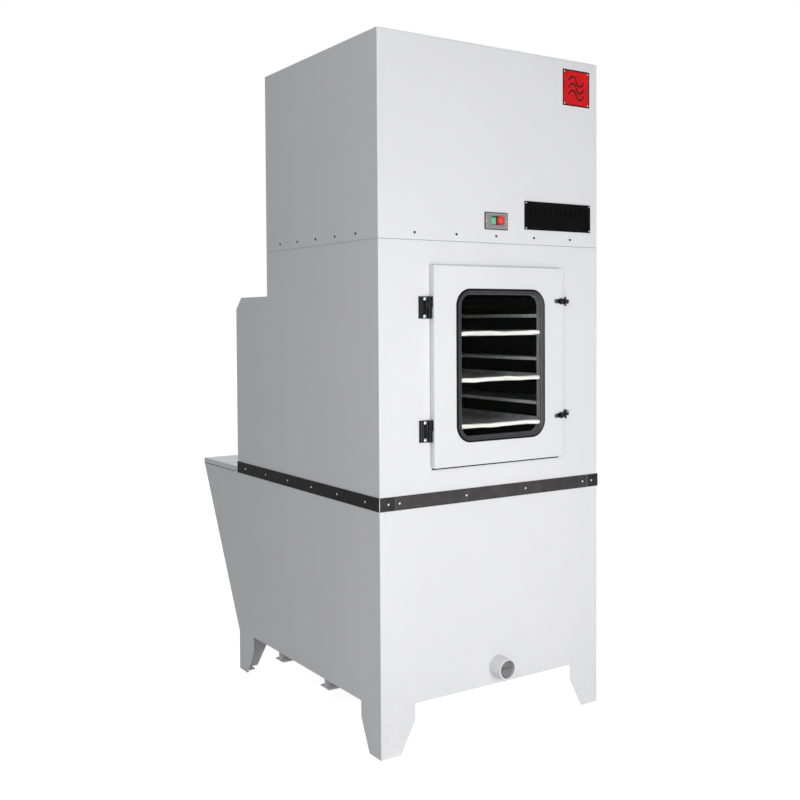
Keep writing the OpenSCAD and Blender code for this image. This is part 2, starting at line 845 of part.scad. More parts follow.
// Soft strips behind the glass that close the gap to the front of each left tray
module tray_seal_strips() {
    back = -0.6;
    color("white") placed() for (z = left_tray_z)
        front_plate(back, back - glass_y[1]) intersection() {
            window_outline(-0.2);
            rect(gasket_x, [z, z + tray_lip]);
        }
}

// Foam stuck to the door's return flange
module door_seal() {
    inset = 5;
    foam_w = 15;
    drip = 8;
    color([0.15, 0.15, 0.15]) placed() front_plate(-gap, 3 - gap) difference() {
        rect([door_x[0] + inset, door_x[1] - inset], [door_z[0] - drip, door_z[1] - inset]);
        rect([door_x[0] + inset + foam_w, door_x[1] - inset - foam_w],
             [door_z[0] + inset + foam_w, door_z[1] - inset - foam_w]);
    }
}

// ---- fan section --------------------------------------------------------------------------------

module top_front_panel() {
    color("white") placed() front_plate(sheet, sheet) difference() {
        rect([-half_w, half_w], top_z);
        rect([switch_x[0] + switch_hole_in, switch_x[1] - switch_hole_in],
             [switch_z[0] + switch_hole_in, switch_z[1] - switch_hole_in]);
        rect([grille_x[0] + grille_hole_in, grille_x[1] - grille_hole_in],
             [grille_z[0] + grille_hole_in, grille_z[1] - grille_hole_in]);
    }
}

module top_left_panel() {
    color("white") placed() side_plate(-half_w, sheet) rect([sheet, tower_d], top_z);
}

module top_right_panel() {
    color("white") placed() side_plate(inner_w, sheet) rect([sheet, tower_d], top_z);
}

module top_back_panel() {
    color("white") placed() front_plate(tower_d, sheet) difference() {
        rect([-inner_w, inner_w], top_z);
        rect([outlet_x[0] - sheet, outlet_x[1] + sheet], [outlet_z[0] - sheet, outlet_z[1] + sheet]);
    }
}

module roof_panel() {
    color("white") placed() block([-half_w, 0, top_z[1]], [half_w, tower_d, cabinet_h]);
}

module seam_screws() {
    head = [4.6, 2];
    z = seam_z + 25;
    color([0.25, 0.25, 0.25]) placed() {
        for (n = [-2:2])
            front_head(4 + n * 178, 0, z, head[0], head[1]);
        for (side = [-1, 1], n = [0:4])
            side_head(side, 147 + n * 145, z, head[0], head[1]);
    }
}

// Start and stop station: a face plate on a box, with a well for each button
module switch_housing() {
    box_d = 52;
    wall = 2;
    rim_w = 5;
    rim_t = 2.6;
    box_x = [switch_x[0] + switch_hole_in + 0.2, switch_x[1] - switch_hole_in - 0.2];
    box_z = [switch_z[0] + switch_hole_in + 0.2, switch_z[1] - switch_hole_in - 0.2];
    color([0.55, 0.56, 0.55]) placed() difference() {
        union() {
            front_plate(0, rim_t) round_rect(switch_x, switch_z, 3);
            front_plate(0, plate_t) round_rect([switch_x[0] + rim_w, switch_x[1] - rim_w],
                                               [switch_z[0] + rim_w, switch_z[1] - rim_w], 2);
            front_plate(box_d, box_d) rect(box_x, box_z);
        }
        front_plate(box_d - wall, box_d - 2 * wall)
            rect([box_x[0] + wall, box_x[1] - wall], [box_z[0] + wall, box_z[1] - wall]);
        front_plate(box_d / 2, box_d)
            rect([start_x[0] - gap, stop_x[1] + gap], [button_z[0] - gap, button_z[1] + gap]);
    }
}

module button(x, front, back, r) {
    front_plate(back, back - front) round_rect(x, button_z, r);
}

module start_button() {
    color("mediumaquamarine") placed() button(start_x, -4.5, 14, 2);
}

module stop_button() {
    ring_r = [6.5, 4.5];
    middle = [(stop_x[0] + stop_x[1]) / 2, (button_z[0] + button_z[1]) / 2];
    color("red") placed() {
        button(stop_x, -13, 14, 10);
        front_plate(-13, 0.8) translate(middle) difference() {
            circle(ring_r[0]);
            circle(ring_r[1]);
        }
    }
}

// A framed plate with a row of upright slots in its upper half
module vent_grille() {
    frame_w = 11;
    slot = [11, 29];
    slot_z = grille_z[0] + 54;
    pitch = (grille_x[1] - grille_x[0] - 2 * 26) / (grille_slots - 1);
    color([0.08, 0.08, 0.08]) placed() {
        front_plate(0, 2) difference() {
            rect(grille_x, grille_z);
            for (n = [0:grille_slots - 1])
                translate([grille_x[0] + 26 + n * pitch - slot[0] / 2, slot_z]) square(slot);
        }
        front_plate(-2, 2) difference() {
            rect(grille_x, grille_z);
            rect([grille_x[0] + frame_w, grille_x[1] - frame_w],
                 [grille_z[0] + frame_w, grille_z[1] - frame_w]);
        }
    }
}

// A plate with a raised border and three raised wave lines
module nameplate() {
    border = 5;
    mid_x = (badge_x[0] + badge_x[1]) / 2;
    color("crimson") placed() {
        front_plate(0, badge_t) rect(badge_x, badge_z);
        front_plate(-badge_t, 0.6) difference() {
            rect(badge_x, badge_z);
            rect([badge_x[0] + border, badge_x[1] - border], [badge_z[0] + border, badge_z[1] - border]);
        }
        for (n = [0:2], side = [-1, 1])
            front_plate(-badge_t, 0.6) translate([mid_x + side * 18, badge_z[0] + 42 + n * 26])
                intersection() {
                    difference() {
                        circle(20);
                        circle(14);
                    }
                    translate([-20, side < 0 ? 0 : -20]) square([40, 20]);
                }
    }
}

// Small rivets that hold the grille and the nameplate
module trim_rivets() {
    head = [3, 1.4];
    inset = 6;
    badge_in = 8;
    switch_in = 7;
    color("silver") placed() {
        for (x = [grille_x[0] + inset, grille_x[1] - inset], z = [grille_z[0] + inset, grille_z[1] - inset])
            front_head(x, -plate_t, z, head[0], head[1]);
        for (x = [badge_x[0] + badge_in, badge_x[1] - badge_in],
             z = [badge_z[0] + badge_in, badge_z[1] - badge_in])
            front_head(x, -badge_t, z, head[0], head[1]);
        for (x = [switch_x[0] + switch_in, switch_x[1] - switch_in])
            front_head(x, -plate_t, (switch_z[0] + switch_z[1]) / 2, head[0], head[1]);
    }
}

module at_fan() {
    placed() translate([fan_at[0], fan_at[1], 0]) children();
}

// The floor of the fan section, with a round air hole
module fan_deck() {
    color("lightgray") placed() difference() {
        block([-inner_w, sheet, deck_z], [inner_w, tower_d - sheet, deck_top]);
        translate([fan_at[0], fan_at[1], deck_z - 1]) cylinder(h = deck_t + 2, r = deck_hole_r);
    }
}

// Its edges, turned up, with relief cuts at the corners and a gap for the outlet duct
module fan_deck_edges() {
    relief = 8;
    x = [-inner_w + relief, inner_w - relief];
    y = [sheet, tower_d - sheet];
    back_x = [[x[0], outlet_x[0] - 2 * sheet], [outlet_x[1] + 2 * sheet, x[1]]];
    z = [deck_top, deck_z + 40];
    color("lightgray") placed() {
        for (left = [-inner_w, inner_w - sheet])
            block([left, y[0] + relief, z[0]], [left + sheet, y[1] - relief, z[1]]);
        block([x[0], y[0], z[0]], [x[1], y[0] + sheet, z[1]]);
        for (side = back_x)
            block([side[0], y[1] - sheet, z[0]], [side[1], y[1], z[1]]);
    }
}

// A rolled inlet ring that stands on the deck and leads the air into the wheel's eye
module fan_inlet_ring() {
    foot_r = deck_hole_r + 12;
    color("lightgray") at_fan() translate([0, 0, deck_top]) rotate_extrude()
        polygon([[foot_r, 0], [foot_r, 2], [deck_hole_r - 3, 2], [165, 13], [146, 31], [144, 43], [142, 43],
                 [143, 30], [163, 9], [deck_hole_r - 4, 0]]);
}

module scroll_outline(r, duct_x) {
    translate(fan_at + [-15, -5]) circle(r);
    rect(duct_x, [fan_at[1], tower_d - sheet]);
}

// Spiral casing round the wheel with a square duct out of the back, and its outlet flange
module fan_scroll() {
    shaft_hole = 30;
    flange_w = 28;
    flange_hole_r = 4.5;
    pattern_out = 14;
    duct_y = tower_d + outlet_l;
    color("lightgray") placed() {
        difference() {
            translate([0, 0, scroll_z[0]]) linear_extrude(scroll_z[1] - scroll_z[0])
                scroll_outline(scroll_r, [outlet_x[0] - sheet, outlet_x[1] + sheet]);
            translate([0, 0, scroll_z[0] - 1]) linear_extrude(scroll_z[1] - scroll_z[0] + 1 - sheet)
                scroll_outline(scroll_r - sheet, outlet_x);
            translate([fan_at[0], fan_at[1], scroll_z[1] - 10]) cylinder(h = 20, r = shaft_hole);
            block([outlet_x[0], tower_d - 60, outlet_z[0]], [outlet_x[1], tower_d, outlet_z[1]]);
        }
        difference() {
            union() {
                block([outlet_x[0] - sheet, tower_d - sheet, outlet_z[0] - sheet],
                      [outlet_x[1] + sheet, duct_y, outlet_z[1] + sheet]);
                block([outlet_x[0] - flange_w, duct_y - 4, outlet_z[0] - flange_w],
                      [outlet_x[1] + flange_w, duct_y, outlet_z[1] + flange_w]);
            }
            block([outlet_x[0], tower_d - 10, outlet_z[0]], [outlet_x[1], duct_y + 1, outlet_z[1]]);
            for (x = [outlet_x[0] - pattern_out, outlet_x[1] + pattern_out],
                 z = [outlet_z[0] - pattern_out, outlet_z[1] + pattern_out])
                translate([x, duct_y, z]) rotate([90, 0, 0])
                    cylinder(h = 20, r = flange_hole_r, center = true);
        }
    }
}

// The wheel's lower ring, round the eye that the air enters by
module fan_shroud() {
    color("silver") at_fan() translate([0, 0, wheel_z[0]]) difference() {
        cylinder(h = wheel_t, r = fan_r);
        translate([0, 0, -1]) cylinder(h = wheel_t + 2, r = wheel_eye_r);
    }
}

// Flat blades leaning backwards, between the lower ring and the back plate
module fan_blades() {
    blade = [92, 3];
    lean = 38;
    color("silver") at_fan() for (n = [0:fan_blades - 1]) rotate(n * 360 / fan_blades)
        translate([wheel_eye_r + 6, 0, wheel_z[0] + wheel_t]) rotate(-lean)
            cube([blade[0], blade[1], wheel_z[1] - wheel_z[0] - wheel_t]);
}

// The wheel's back plate and hub, on the motor's shaft
module fan_hub() {
    hub = [36, 52];
    hub_low = 40;
    color("silver") at_fan() {
        translate([0, 0, wheel_z[1]]) cylinder(h = wheel_t, r = fan_r);
        translate([0, 0, wheel_z[1] - hub_low]) cylinder(h = hub[1], r = hub[0]);
        translate([0, 0, wheel_z[1]]) cylinder(h = motor_z + 250 - wheel_z[1], r = shaft_r);
    }
}

// Flange motor standing on the scroll, with its shaft pointing down into the wheel
module motor() {
    body_r = 88;
    body_z = [motor_z + 12, motor_z + 262];
    fins = 24;
    color("steelblue") at_fan() difference() {
        union() {
            translate([0, 0, scroll_z[1]]) cylinder(h = motor_z - scroll_z[1], r = 160);
            translate([0, 0, motor_z]) cylinder(h = 12, r = 125);
            translate([0, 0, body_z[0]]) cylinder(h = body_z[1] - body_z[0], r = body_r);
            for (n = [0:fins - 1]) rotate(n * 360 / fins)
                translate([body_r - 2, -1.5, body_z[0] + 25]) cube([12, 3, body_z[1] - body_z[0] - 40]);
            translate([0, 0, body_z[1]]) cylinder(h = 70, r = body_r + 8);
            translate([-45, -body_r - 42, body_z[0] + 70]) cube([90, 50, 110]);
        }
        translate([0, 0, scroll_z[1] - 1]) cylinder(h = body_z[1] - scroll_z[1] + 1, r = shaft_r + 0.06);
    }
}

tank_front_panel();
tank_left_panel();
tank_right_panel();
tank_sloped_back();
tank_floor();
tank_underframe();
foot_plates();
rear_ledge();
tank_rim_seal();
drain_socket();
drain_plug();
tank_lid();
lid_fittings();
joint_strip_front();
joint_strip_sides();
bright_fasteners();
washer_front_panel();
washer_left_panel();
washer_right_panel();
plenum_partition();
plenum_back_panel();
plenum_roof();
inlet_sockets();
left_trays();
right_trays();
mist_eliminator();
wash_pipe();
circulation_pump();
hinge_leaves();
hinge_pins();
latch_keepers();
door_panel();
window_gasket();
window_glass();
window_retainer();
tray_seal_strips();
door_seal();
door_hinge_leaves();
latch_bases();
upper_latch_arm();
lower_latch_arm();
top_front_panel();
top_left_panel();
top_right_panel();
top_back_panel();
roof_panel();
seam_screws();
switch_housing();
start_button();
stop_button();
vent_grille();
nameplate();
fan_deck();
fan_deck_edges();
fan_inlet_ring();
fan_scroll();
fan_hub();
fan_shroud();
fan_blades();
motor();
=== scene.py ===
"""Looks for the wet dust collector. Everything is in metres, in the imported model's own frame."""

import json
import math

import bmesh
import bpy
from mathutils import Matrix, Vector

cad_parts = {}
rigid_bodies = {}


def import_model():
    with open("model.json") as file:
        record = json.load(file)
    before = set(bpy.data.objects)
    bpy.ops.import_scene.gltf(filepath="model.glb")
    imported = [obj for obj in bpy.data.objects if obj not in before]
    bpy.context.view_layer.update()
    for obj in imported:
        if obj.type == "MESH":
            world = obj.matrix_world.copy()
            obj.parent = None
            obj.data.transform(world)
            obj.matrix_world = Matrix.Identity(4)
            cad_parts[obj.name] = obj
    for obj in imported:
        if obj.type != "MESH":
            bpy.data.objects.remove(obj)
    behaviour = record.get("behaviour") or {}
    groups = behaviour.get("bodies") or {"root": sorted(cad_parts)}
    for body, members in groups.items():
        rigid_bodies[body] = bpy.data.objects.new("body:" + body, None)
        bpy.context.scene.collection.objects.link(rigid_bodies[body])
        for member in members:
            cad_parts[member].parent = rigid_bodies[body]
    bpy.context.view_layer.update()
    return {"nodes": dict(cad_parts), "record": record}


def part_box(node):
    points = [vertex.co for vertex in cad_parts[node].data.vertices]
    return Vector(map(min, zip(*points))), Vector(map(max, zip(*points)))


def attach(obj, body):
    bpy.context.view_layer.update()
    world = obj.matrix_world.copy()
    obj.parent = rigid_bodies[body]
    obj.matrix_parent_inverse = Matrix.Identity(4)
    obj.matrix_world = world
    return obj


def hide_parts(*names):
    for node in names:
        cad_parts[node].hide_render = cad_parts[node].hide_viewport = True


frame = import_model()
MM = 0.001
WELD, NEAR = 1e-6, 1e-5
FLAT = math.radians(0.3)
TO_FRONT = Matrix.Rotation(math.pi / 2, 4, "X")
node_body = {n: b for b, ns in frame["record"]["behaviour"]["bodies"].items() for n in ns}
node_slot = {s["node"]: s["material_slot"] for s in frame["record"]["subparts"]}


# ---- materials -----------------------------------------------------------------------------------


class Paint:
    """A Principled material under construction, with short calls for the nodes it uses."""

    def __init__(self, name, roughness=0.5, metallic=0.0, **constants):
        self.material = bpy.data.materials.new(name)
        self.material.use_nodes = True
        self.tree = self.material.node_tree
        self.shader = self.tree.nodes["Principled BSDF"]
        self.shader.inputs["Roughness"].default_value = roughness
        self.shader.inputs["Metallic"].default_value = metallic
        for key, value in constants.items():
            self.shader.inputs[key.replace("_", " ")].default_value = value
        self.where = self.add("ShaderNodeTexCoord").outputs["Object"]

    def add(self, kind, **settings):
        node = self.tree.nodes.new(kind)
        for key, value in settings.items():
            setattr(node, key, value)
        return node

    def link(self, a, b):
        self.tree.links.new(a, b)

    def stretched(self, scale):
        """Object coordinates scaled by a vector."""
        n = self.add("ShaderNodeMapping")
        self.link(self.where, n.inputs["Vector"])
        n.inputs["Scale"].default_value = scale
        return n.outputs["Vector"]

    def noise(self, scale, detail=3.0, vector=None, distortion=0.0):
        n = self.add("ShaderNodeTexNoise")
        n.inputs["Scale"].default_value = scale
        n.inputs["Detail"].default_value = detail
        n.inputs["Distortion"].default_value = distortion
        self.link(vector or self.where, n.inputs["Vector"])
        return n.outputs["Fac"]

    def cells(self, scale):
        n = self.add("ShaderNodeTexVoronoi")
        n.inputs["Scale"].default_value = scale
        self.link(self.where, n.inputs["Vector"])
        return n.outputs["Color"]

    def fit(self, value, low, high, to_low=0.0, to_high=1.0):
        n = self.add("ShaderNodeMapRange")
        self.link(value, n.inputs["Value"])
        for key, number in zip(("From Min", "From Max", "To Min", "To Max"), (low, high, to_low, to_high)):
            n.inputs[key].default_value = number
        return n.outputs["Result"]

    def math(self, operation, a, b):
        n = self.add("ShaderNodeMath", operation=operation)
        for socket, value in zip(n.inputs, (a, b)):
            if isinstance(value, (int, float)):
                socket.default_value = value
            else:
                self.link(value, socket)
        return n.outputs["Value"]

    def axis(self, letter):
        n = self.add("ShaderNodeSeparateXYZ")
        self.link(self.where, n.inputs[0])
        return n.outputs[letter]

    def mix(self, factor, a, b):
        n = self.add("ShaderNodeMix", data_type="RGBA")
        self.link(factor, n.inputs["Factor"])
        for socket, value in ((n.inputs[6], a), (n.inputs[7], b)):
            if isinstance(value, tuple):
                socket.default_value = (*value, 1.0)
            else:
                self.link(value, socket)
        return n.outputs[2]

    def color(self, socket):
        self.link(socket, self.shader.inputs["Base Color"])

    def roughness(self, socket):
        self.link(socket, self.shader.inputs["Roughness"])

    def bump(self, height, strength, distance=0.001):
        n = self.add("ShaderNodeBump")
        n.inputs["Strength"].default_value = strength
        n.inputs["Distance"].default_value = distance
        self.link(height, n.inputs["Height"])
        self.link(n.outputs["Normal"], self.shader.inputs["Normal"])


def tint(color, factor):
    return tuple(min(1.0, c * factor) for c in color)


def coated(name, color, roughness, spread=0.06, grain=260.0, relief=0.05, dust=None, **constants):
    """Paint, plastic or rubber: cloudy colour, uneven gloss and a fine grain, with dust in places."""
    p = Paint(name, roughness, **constants)
    base = p.mix(p.fit(p.noise(2.3, 5.0), 0.3, 0.7), tint(color, 1 - spread), tint(color, 1 + spread))
    fine = p.fit(p.noise(34.0, 6.0), 0.35, 0.75)
    if dust:
        base = p.mix(p.math("MULTIPLY", fine, dust[1]), base, dust[0])
    p.color(base)
    p.roughness(p.fit(p.noise(11.0, 6.0), 0.3, 0.7, roughness - 0.07, roughness + 0.09))
    p.bump(p.noise(grain, 2.0), relief)
    return p.material


def powder_coat(name, color):
    """White powder coat: orange peel, a few faint smudges, and splashes near the floor."""
    p = Paint(name, 0.42, Specular_IOR_Level=0.4)
    clouds = p.mix(p.fit(p.noise(1.4, 4.0), 0.3, 0.7), tint(color, 0.975), tint(color, 1.01))
    smudge = p.fit(p.noise(5.0, 8.0, distortion=0.6), 0.6, 0.8, 0.0, 0.035)
    near_floor = p.fit(p.axis("Z"), 0.0, 0.3, 1.0, 0.0)
    splashes = p.math("MULTIPLY", near_floor, p.fit(p.noise(26.0, 8.0), 0.5, 0.72, 0.0, 0.12))
    streak = p.fit(p.noise(1.0, 4.0, p.stretched((22.0, 22.0, 0.8))), 0.62, 0.8, 0.0, 0.025)
    dirt = p.math("ADD", p.math("ADD", smudge, splashes), streak)
    p.color(p.mix(dirt, clouds, (0.42, 0.40, 0.37)))
    p.roughness(p.fit(p.noise(7.0, 6.0), 0.3, 0.7, 0.36, 0.5))
    p.bump(p.noise(230.0, 2.0), 0.045, 0.0012)
    return p.material


def metal(name, color, roughness, spread=0.12, metallic=1.0):
    """Bare or plated metal; a low metallic gives it a dull white bloom."""
    p = Paint(name, roughness, metallic)
    p.color(p.mix(p.fit(p.noise(9.0, 6.0), 0.3, 0.7), tint(color, 1 - spread), tint(color, 1 + spread)))
    grain = p.noise(420.0, 2.0)
    p.roughness(p.fit(grain, 0.3, 0.7, roughness - 0.1, roughness + 0.12))
    p.bump(grain, 0.04)
    return p.material


def galvanised(name):
    """Zinc spangle: flat crystals, each with its own tone and gloss."""
    p = Paint(name, 0.4, 0.9)
    tone = p.add("ShaderNodeSeparateColor")
    p.link(p.cells(70.0), tone.inputs[0])
    p.color(p.mix(tone.outputs[0], (0.36, 0.38, 0.39), (0.55, 0.57, 0.58)))
    p.roughness(p.fit(tone.outputs[1], 0.0, 1.0, 0.3, 0.5))
    p.bump(p.noise(300.0, 2.0), 0.03)
    return p.material


def wet_steel(name, dark, light):
    """Coated shelf that water runs over: streaks along its slope, dried rims and dull patches."""
    p = Paint(name, 0.4, 0.15)
    runs = p.fit(p.noise(1.0, 6.0, p.stretched((9.0, 45.0, 9.0)), 0.4), 0.35, 0.7)
    base = p.mix(runs, dark, light)
    marks = p.fit(p.noise(19.0, 9.0, distortion=1.2), 0.6, 0.75, 0.0, 0.5)
    p.color(p.mix(marks, base, tint(light, 1.25)))
    p.roughness(p.fit(p.noise(8.0, 7.0), 0.3, 0.7, 0.24, 0.6))
    p.bump(p.noise(90.0, 5.0), 0.12)
    return p.material


def clear_pane(name):
    """Glass that lets lamps reach what is behind it, with a faint film of dried spray."""
    p = Paint(name, 0.02, Transmission_Weight=1.0, IOR=1.13)
    p.shader.inputs["Base Color"].default_value = (0.97, 0.975, 0.97, 1.0)
    p.roughness(p.fit(p.noise(60.0, 8.0), 0.55, 0.8, 0.01, 0.06))
    path = p.add("ShaderNodeLightPath")
    passing = p.add("ShaderNodeBsdfTransparent")
    passing.inputs["Color"].default_value = (0.92, 0.92, 0.915, 1.0)
    choose = p.add("ShaderNodeMixShader")
    out = p.tree.nodes["Material Output"]
    p.link(path.outputs["Is Shadow Ray"], choose.inputs[0])
    p.link(p.shader.outputs[0], choose.inputs[1])
    p.link(passing.outputs[0], choose.inputs[2])
    p.link(choose.outputs[0], out.inputs["Surface"])
    return p.material


def two_level(name, low_color, high_color, level):
    """Enamel whose raised parts, those in front of the level, have a second colour."""
    p = Paint(name, 0.3, Coat_Weight=0.15, Coat_Roughness=0.12, Specular_IOR_Level=0.25)
    cloudy = p.mix(p.fit(p.noise(30.0, 5.0), 0.3, 0.7), tint(low_color, 0.86), tint(low_color, 1.1))
    raised = p.math("LESS_THAN", p.axis("Y"), level)
    p.color(p.mix(raised, cloudy, high_color))
    p.roughness(p.fit(p.noise(50.0, 6.0), 0.3, 0.7, 0.24, 0.42))
    p.bump(p.noise(500.0, 2.0), 0.03)
    return p.material


def pale_floor(name):
    """A white studio floor, lifted a little towards the backdrop where it is looked at directly."""
    p = Paint(name, 0.9, Emission_Color=(1.0, 1.0, 1.0, 1.0))
    p.color(p.mix(p.fit(p.noise(0.5), 0.3, 0.7), (0.9, 0.9, 0.9), (0.91, 0.91, 0.91)))
    looked_at = p.add("ShaderNodeLightPath").outputs["Is Camera Ray"]
    lift = 0.8
    p.link(p.math("MULTIPLY", looked_at, lift), p.shader.inputs["Emission Strength"])
    return p.material


badge_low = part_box("nameplate")[0]
WHITE = (0.80, 0.80, 0.815)
MATERIALS = {
    "white_paint": powder_coat("white_powder_coat", WHITE),
    "strip_rubber": coated(
        "joint_rubber", (0.046, 0.043, 0.044), 0.55, 0.16, 420.0, 0.15, dust=((0.12, 0.115, 0.11), 0.3),
        Specular_IOR_Level=0.3,
    ),
    "black_rubber": coated(
        "moulded_rubber", (0.006, 0.006, 0.0065), 0.45, 0.15, 500.0, 0.1, dust=((0.08, 0.08, 0.08), 0.12),
        Specular_IOR_Level=0.3,
    ),
    "black_metal": coated(
        "black_coating", (0.0035, 0.0035, 0.004), 0.36, 0.2, 600.0, 0.08, dust=((0.05, 0.05, 0.05), 0.08),
        Specular_IOR_Level=0.25,
    ),
    "white_foam": coated(
        "white_foam_rubber", (0.66, 0.645, 0.63), 0.85, 0.05, 350.0, 0.35, dust=((0.58, 0.55, 0.47), 0.3),
        Specular_IOR_Level=0.3,
    ),
    "clear_glass": clear_pane("window_pane"),
    "retainer_grey": coated(
        "grey_frame", (0.24, 0.24, 0.245), 0.4, 0.08, 260.0, 0.08, dust=((0.12, 0.12, 0.12), 0.2),
    ),
    "tray_dark": wet_steel("dark_wet_steel", (0.34, 0.34, 0.35), (0.52, 0.52, 0.54)),
    "tray_light": wet_steel("grey_wet_steel", (0.5, 0.5, 0.51), (0.68, 0.68, 0.69)),
    "zinc": metal("bright_zinc", (0.86, 0.86, 0.87), 0.3, spread=0.08, metallic=0.45),
    "dark_screw": metal("dark_plating", (0.05, 0.05, 0.052), 0.4),
    "galvanised": galvanised("galvanised_sheet"),
    "switch_grey": coated(
        "grey_plastic", (0.25, 0.25, 0.25), 0.5, 0.06, 700.0, 0.12, dust=((0.4, 0.4, 0.39), 0.15),
    ),
    "green_plastic": coated("green_button", (0.13, 0.5, 0.31), 0.35, 0.06, 700.0, 0.05),
    "red_plastic": coated("red_button", (0.72, 0.03, 0.018), 0.3, 0.08, 700.0, 0.05),
    "grille_black": coated(
        "black_plastic", (0.002, 0.002, 0.0022), 0.6, 0.2, 600.0, 0.15, dust=((0.02, 0.02, 0.02), 0.1),
        Specular_IOR_Level=0.12,
    ),
    "plate_red": two_level("red_enamel", (0.72, 0.007, 0.011), (0.012, 0.01, 0.011), badge_low.y + 0.5 * MM),
    "plug_metal": metal("cast_metal", (0.36, 0.345, 0.35), 0.5, spread=0.3),
    "motor_paint": coated("machine_paint", (0.05, 0.11, 0.19), 0.4, 0.1, 200.0, 0.2),
    "pump_iron": coated("dark_cast_iron", (0.012, 0.015, 0.017), 0.65, 0.2, 160.0, 0.6),
    "vane_plastic": coated("vane_plastic", (0.42, 0.43, 0.42), 0.5, 0.08, 300.0, 0.1),
}
dull_zinc = metal("dull_zinc", (0.3, 0.31, 0.3), 0.4, metallic=0.5)
# Lighter grey for the hinges' bevels: edge wear, and also a painted highlight along the edges.
worn_edge_and_highlight = coated("worn_edge_and_highlight", (0.13, 0.13, 0.135), 0.35, 0.35, 300.0, 0.1)
# Dark grey for the latches' bevels: rubbing, and also a painted highlight along the edges.
rubbed_edge_and_highlight = coated("rubbed_edge_and_highlight", (0.05, 0.05, 0.052), 0.45, 0.3, 300.0, 0.1)
switch_dark = coated("dark_grey_plastic", (0.09, 0.09, 0.09), 0.5, 0.06, 700.0, 0.12)
# Pale grey for the line round the switch plate's edge: a painted highlight.
switch_painted_highlight = coated("pale_grey_painted_highlight", (0.55, 0.55, 0.55), 0.5, 0.05, 700.0, 0.1)
# Dark green across the start button's top and bottom: a painted shadow.
green_painted_shadow = coated("green_painted_shadow_plastic", (0.012, 0.085, 0.055), 0.45, 0.06, 700.0, 0.05)
# Darker red for the stop button's sides: painted shade.
red_painted_shade = coated("red_painted_shade_plastic", (0.25, 0.01, 0.012), 0.4, 0.08, 700.0, 0.05)
# Near black for the gasket's outer lip and groove: painted shade.
painted_shade_black = coated("painted_shade_black_rubber", (0.004, 0.004, 0.004), 0.5, 0.15, 500.0, 0.1, Specular_IOR_Level=0.2)
pale_green = coated("pale_green_plastic", (0.3, 0.68, 0.48), 0.35, 0.06, 700.0, 0.05)
pale_red = coated("ring_mark", (0.85, 0.2, 0.16), 0.35, 0.05, 700.0, 0.05)
gasket_rubber = coated(
    "gasket_rubber", (0.062, 0.062, 0.065), 0.36, 0.12, 500.0, 0.1, dust=((0.1, 0.1, 0.1), 0.1),
    Specular_IOR_Level=0.5,
)
# A darker copy of the joint rubber for the side strips: painted shade.
side_strip_painted_shade = coated(
    "painted_shade_side_rubber", (0.021, 0.02, 0.0205), 0.55, 0.16, 420.0, 0.15, dust=((0.1, 0.095, 0.09), 0.2),
    Specular_IOR_Level=0.3,
)
# Pale grey for the joint strips' corner folds: a painted highlight.
fold_painted_highlight = coated("fold_painted_highlight", (0.7, 0.7, 0.7), 0.5, 0.1, 400.0, 0.1)
cut_edge = coated("cut_rubber_edge", (0.3, 0.3, 0.3), 0.6, 0.1, 400.0, 0.1)
# Near black for the faces inside the cabinet: painted shade.
painted_shade_inside = coated("painted_shade_inside", (0.012, 0.012, 0.0125), 0.5, 0.35, 120.0, 0.3, Specular_IOR_Level=0.15)
white_socket = coated("painted_pipe", tint(WHITE, 0.98), 0.4, 0.03, 180.0, 0.12)


# ---- making pieces -------------------------------------------------------------------------------


def cad_copy(node):
    """A CAD node's mesh in a new bmesh, with the triangles of each flat face merged."""
    bm = bmesh.new()
    bm.from_mesh(frame["nodes"][node].data)
    bmesh.ops.remove_doubles(bm, verts=bm.verts, dist=WELD)
    bmesh.ops.dissolve_limit(bm, angle_limit=FLAT, verts=bm.verts, edges=bm.edges)
    return bm


def to_object(name, bm):
    mesh = bpy.data.meshes.new(name)
    bm.normal_update()
    bm.to_mesh(mesh)
    bm.free()
    obj = bpy.data.objects.new(name, mesh)
    bpy.context.scene.collection.objects.link(obj)
    return obj


def smooth(obj, degrees=38.0):
    for polygon in obj.data.polygons:
        polygon.use_smooth = True
    obj.data.set_sharp_from_angle(angle=math.radians(degrees))


def rounded(obj, width, segments=2, edge_material=None):
    """Breaks every sharp edge with a small radius, which can have a material of its own, such as wear with a
    painted highlight.
    """
    m = obj.modifiers.new("edges", "BEVEL")
    m.width = width
    m.segments = segments
    m.limit_method = "ANGLE"
    m.angle_limit = math.radians(32.0)
    m.harden_normals = True
    if edge_material:
        obj.data.materials.append(edge_material)
        m.material = len(obj.data.materials) - 1
    w = obj.modifiers.new("normals", "WEIGHTED_NORMAL")
    w.keep_sharp = True


def applied(obj):
    """The object with its modifiers made real."""
    graph = bpy.context.evaluated_depsgraph_get()
    mesh = bpy.data.meshes.new_from_object(obj.evaluated_get(graph))
    obj.modifiers.clear()
    obj.data = mesh
    return obj


def boolean(obj, other, operation):
    m = obj.modifiers.new("boolean", "BOOLEAN")
    m.operation = operation
    m.solver = "EXACT"
    m.object = other
    bpy.context.view_layer.update()
    applied(obj)
    bpy.data.objects.remove(other)
    return obj


def dressed(obj, slot, body, nodes=(), material=None):
    """Gives a piece its material, its body and its slot, and hides the CAD nodes that it stands for."""
    if obj.data.materials:
        obj.data.materials.clear()
    obj.data.materials.append(material or MATERIALS[slot])
    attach(obj, body)
    if nodes:
        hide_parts(*nodes)
    return obj


def refined(node, width=0.5 * MM, segments=2, material=None, edge_material=None):
    """A CAD node's own shape with every sharp edge broken."""
    obj = to_object(node + "_finished", cad_copy(node))
    smooth(obj)
    dressed(obj, node_slot[node], node_body[node], [node], material)
    rounded(obj, width, segments, edge_material)
    return obj


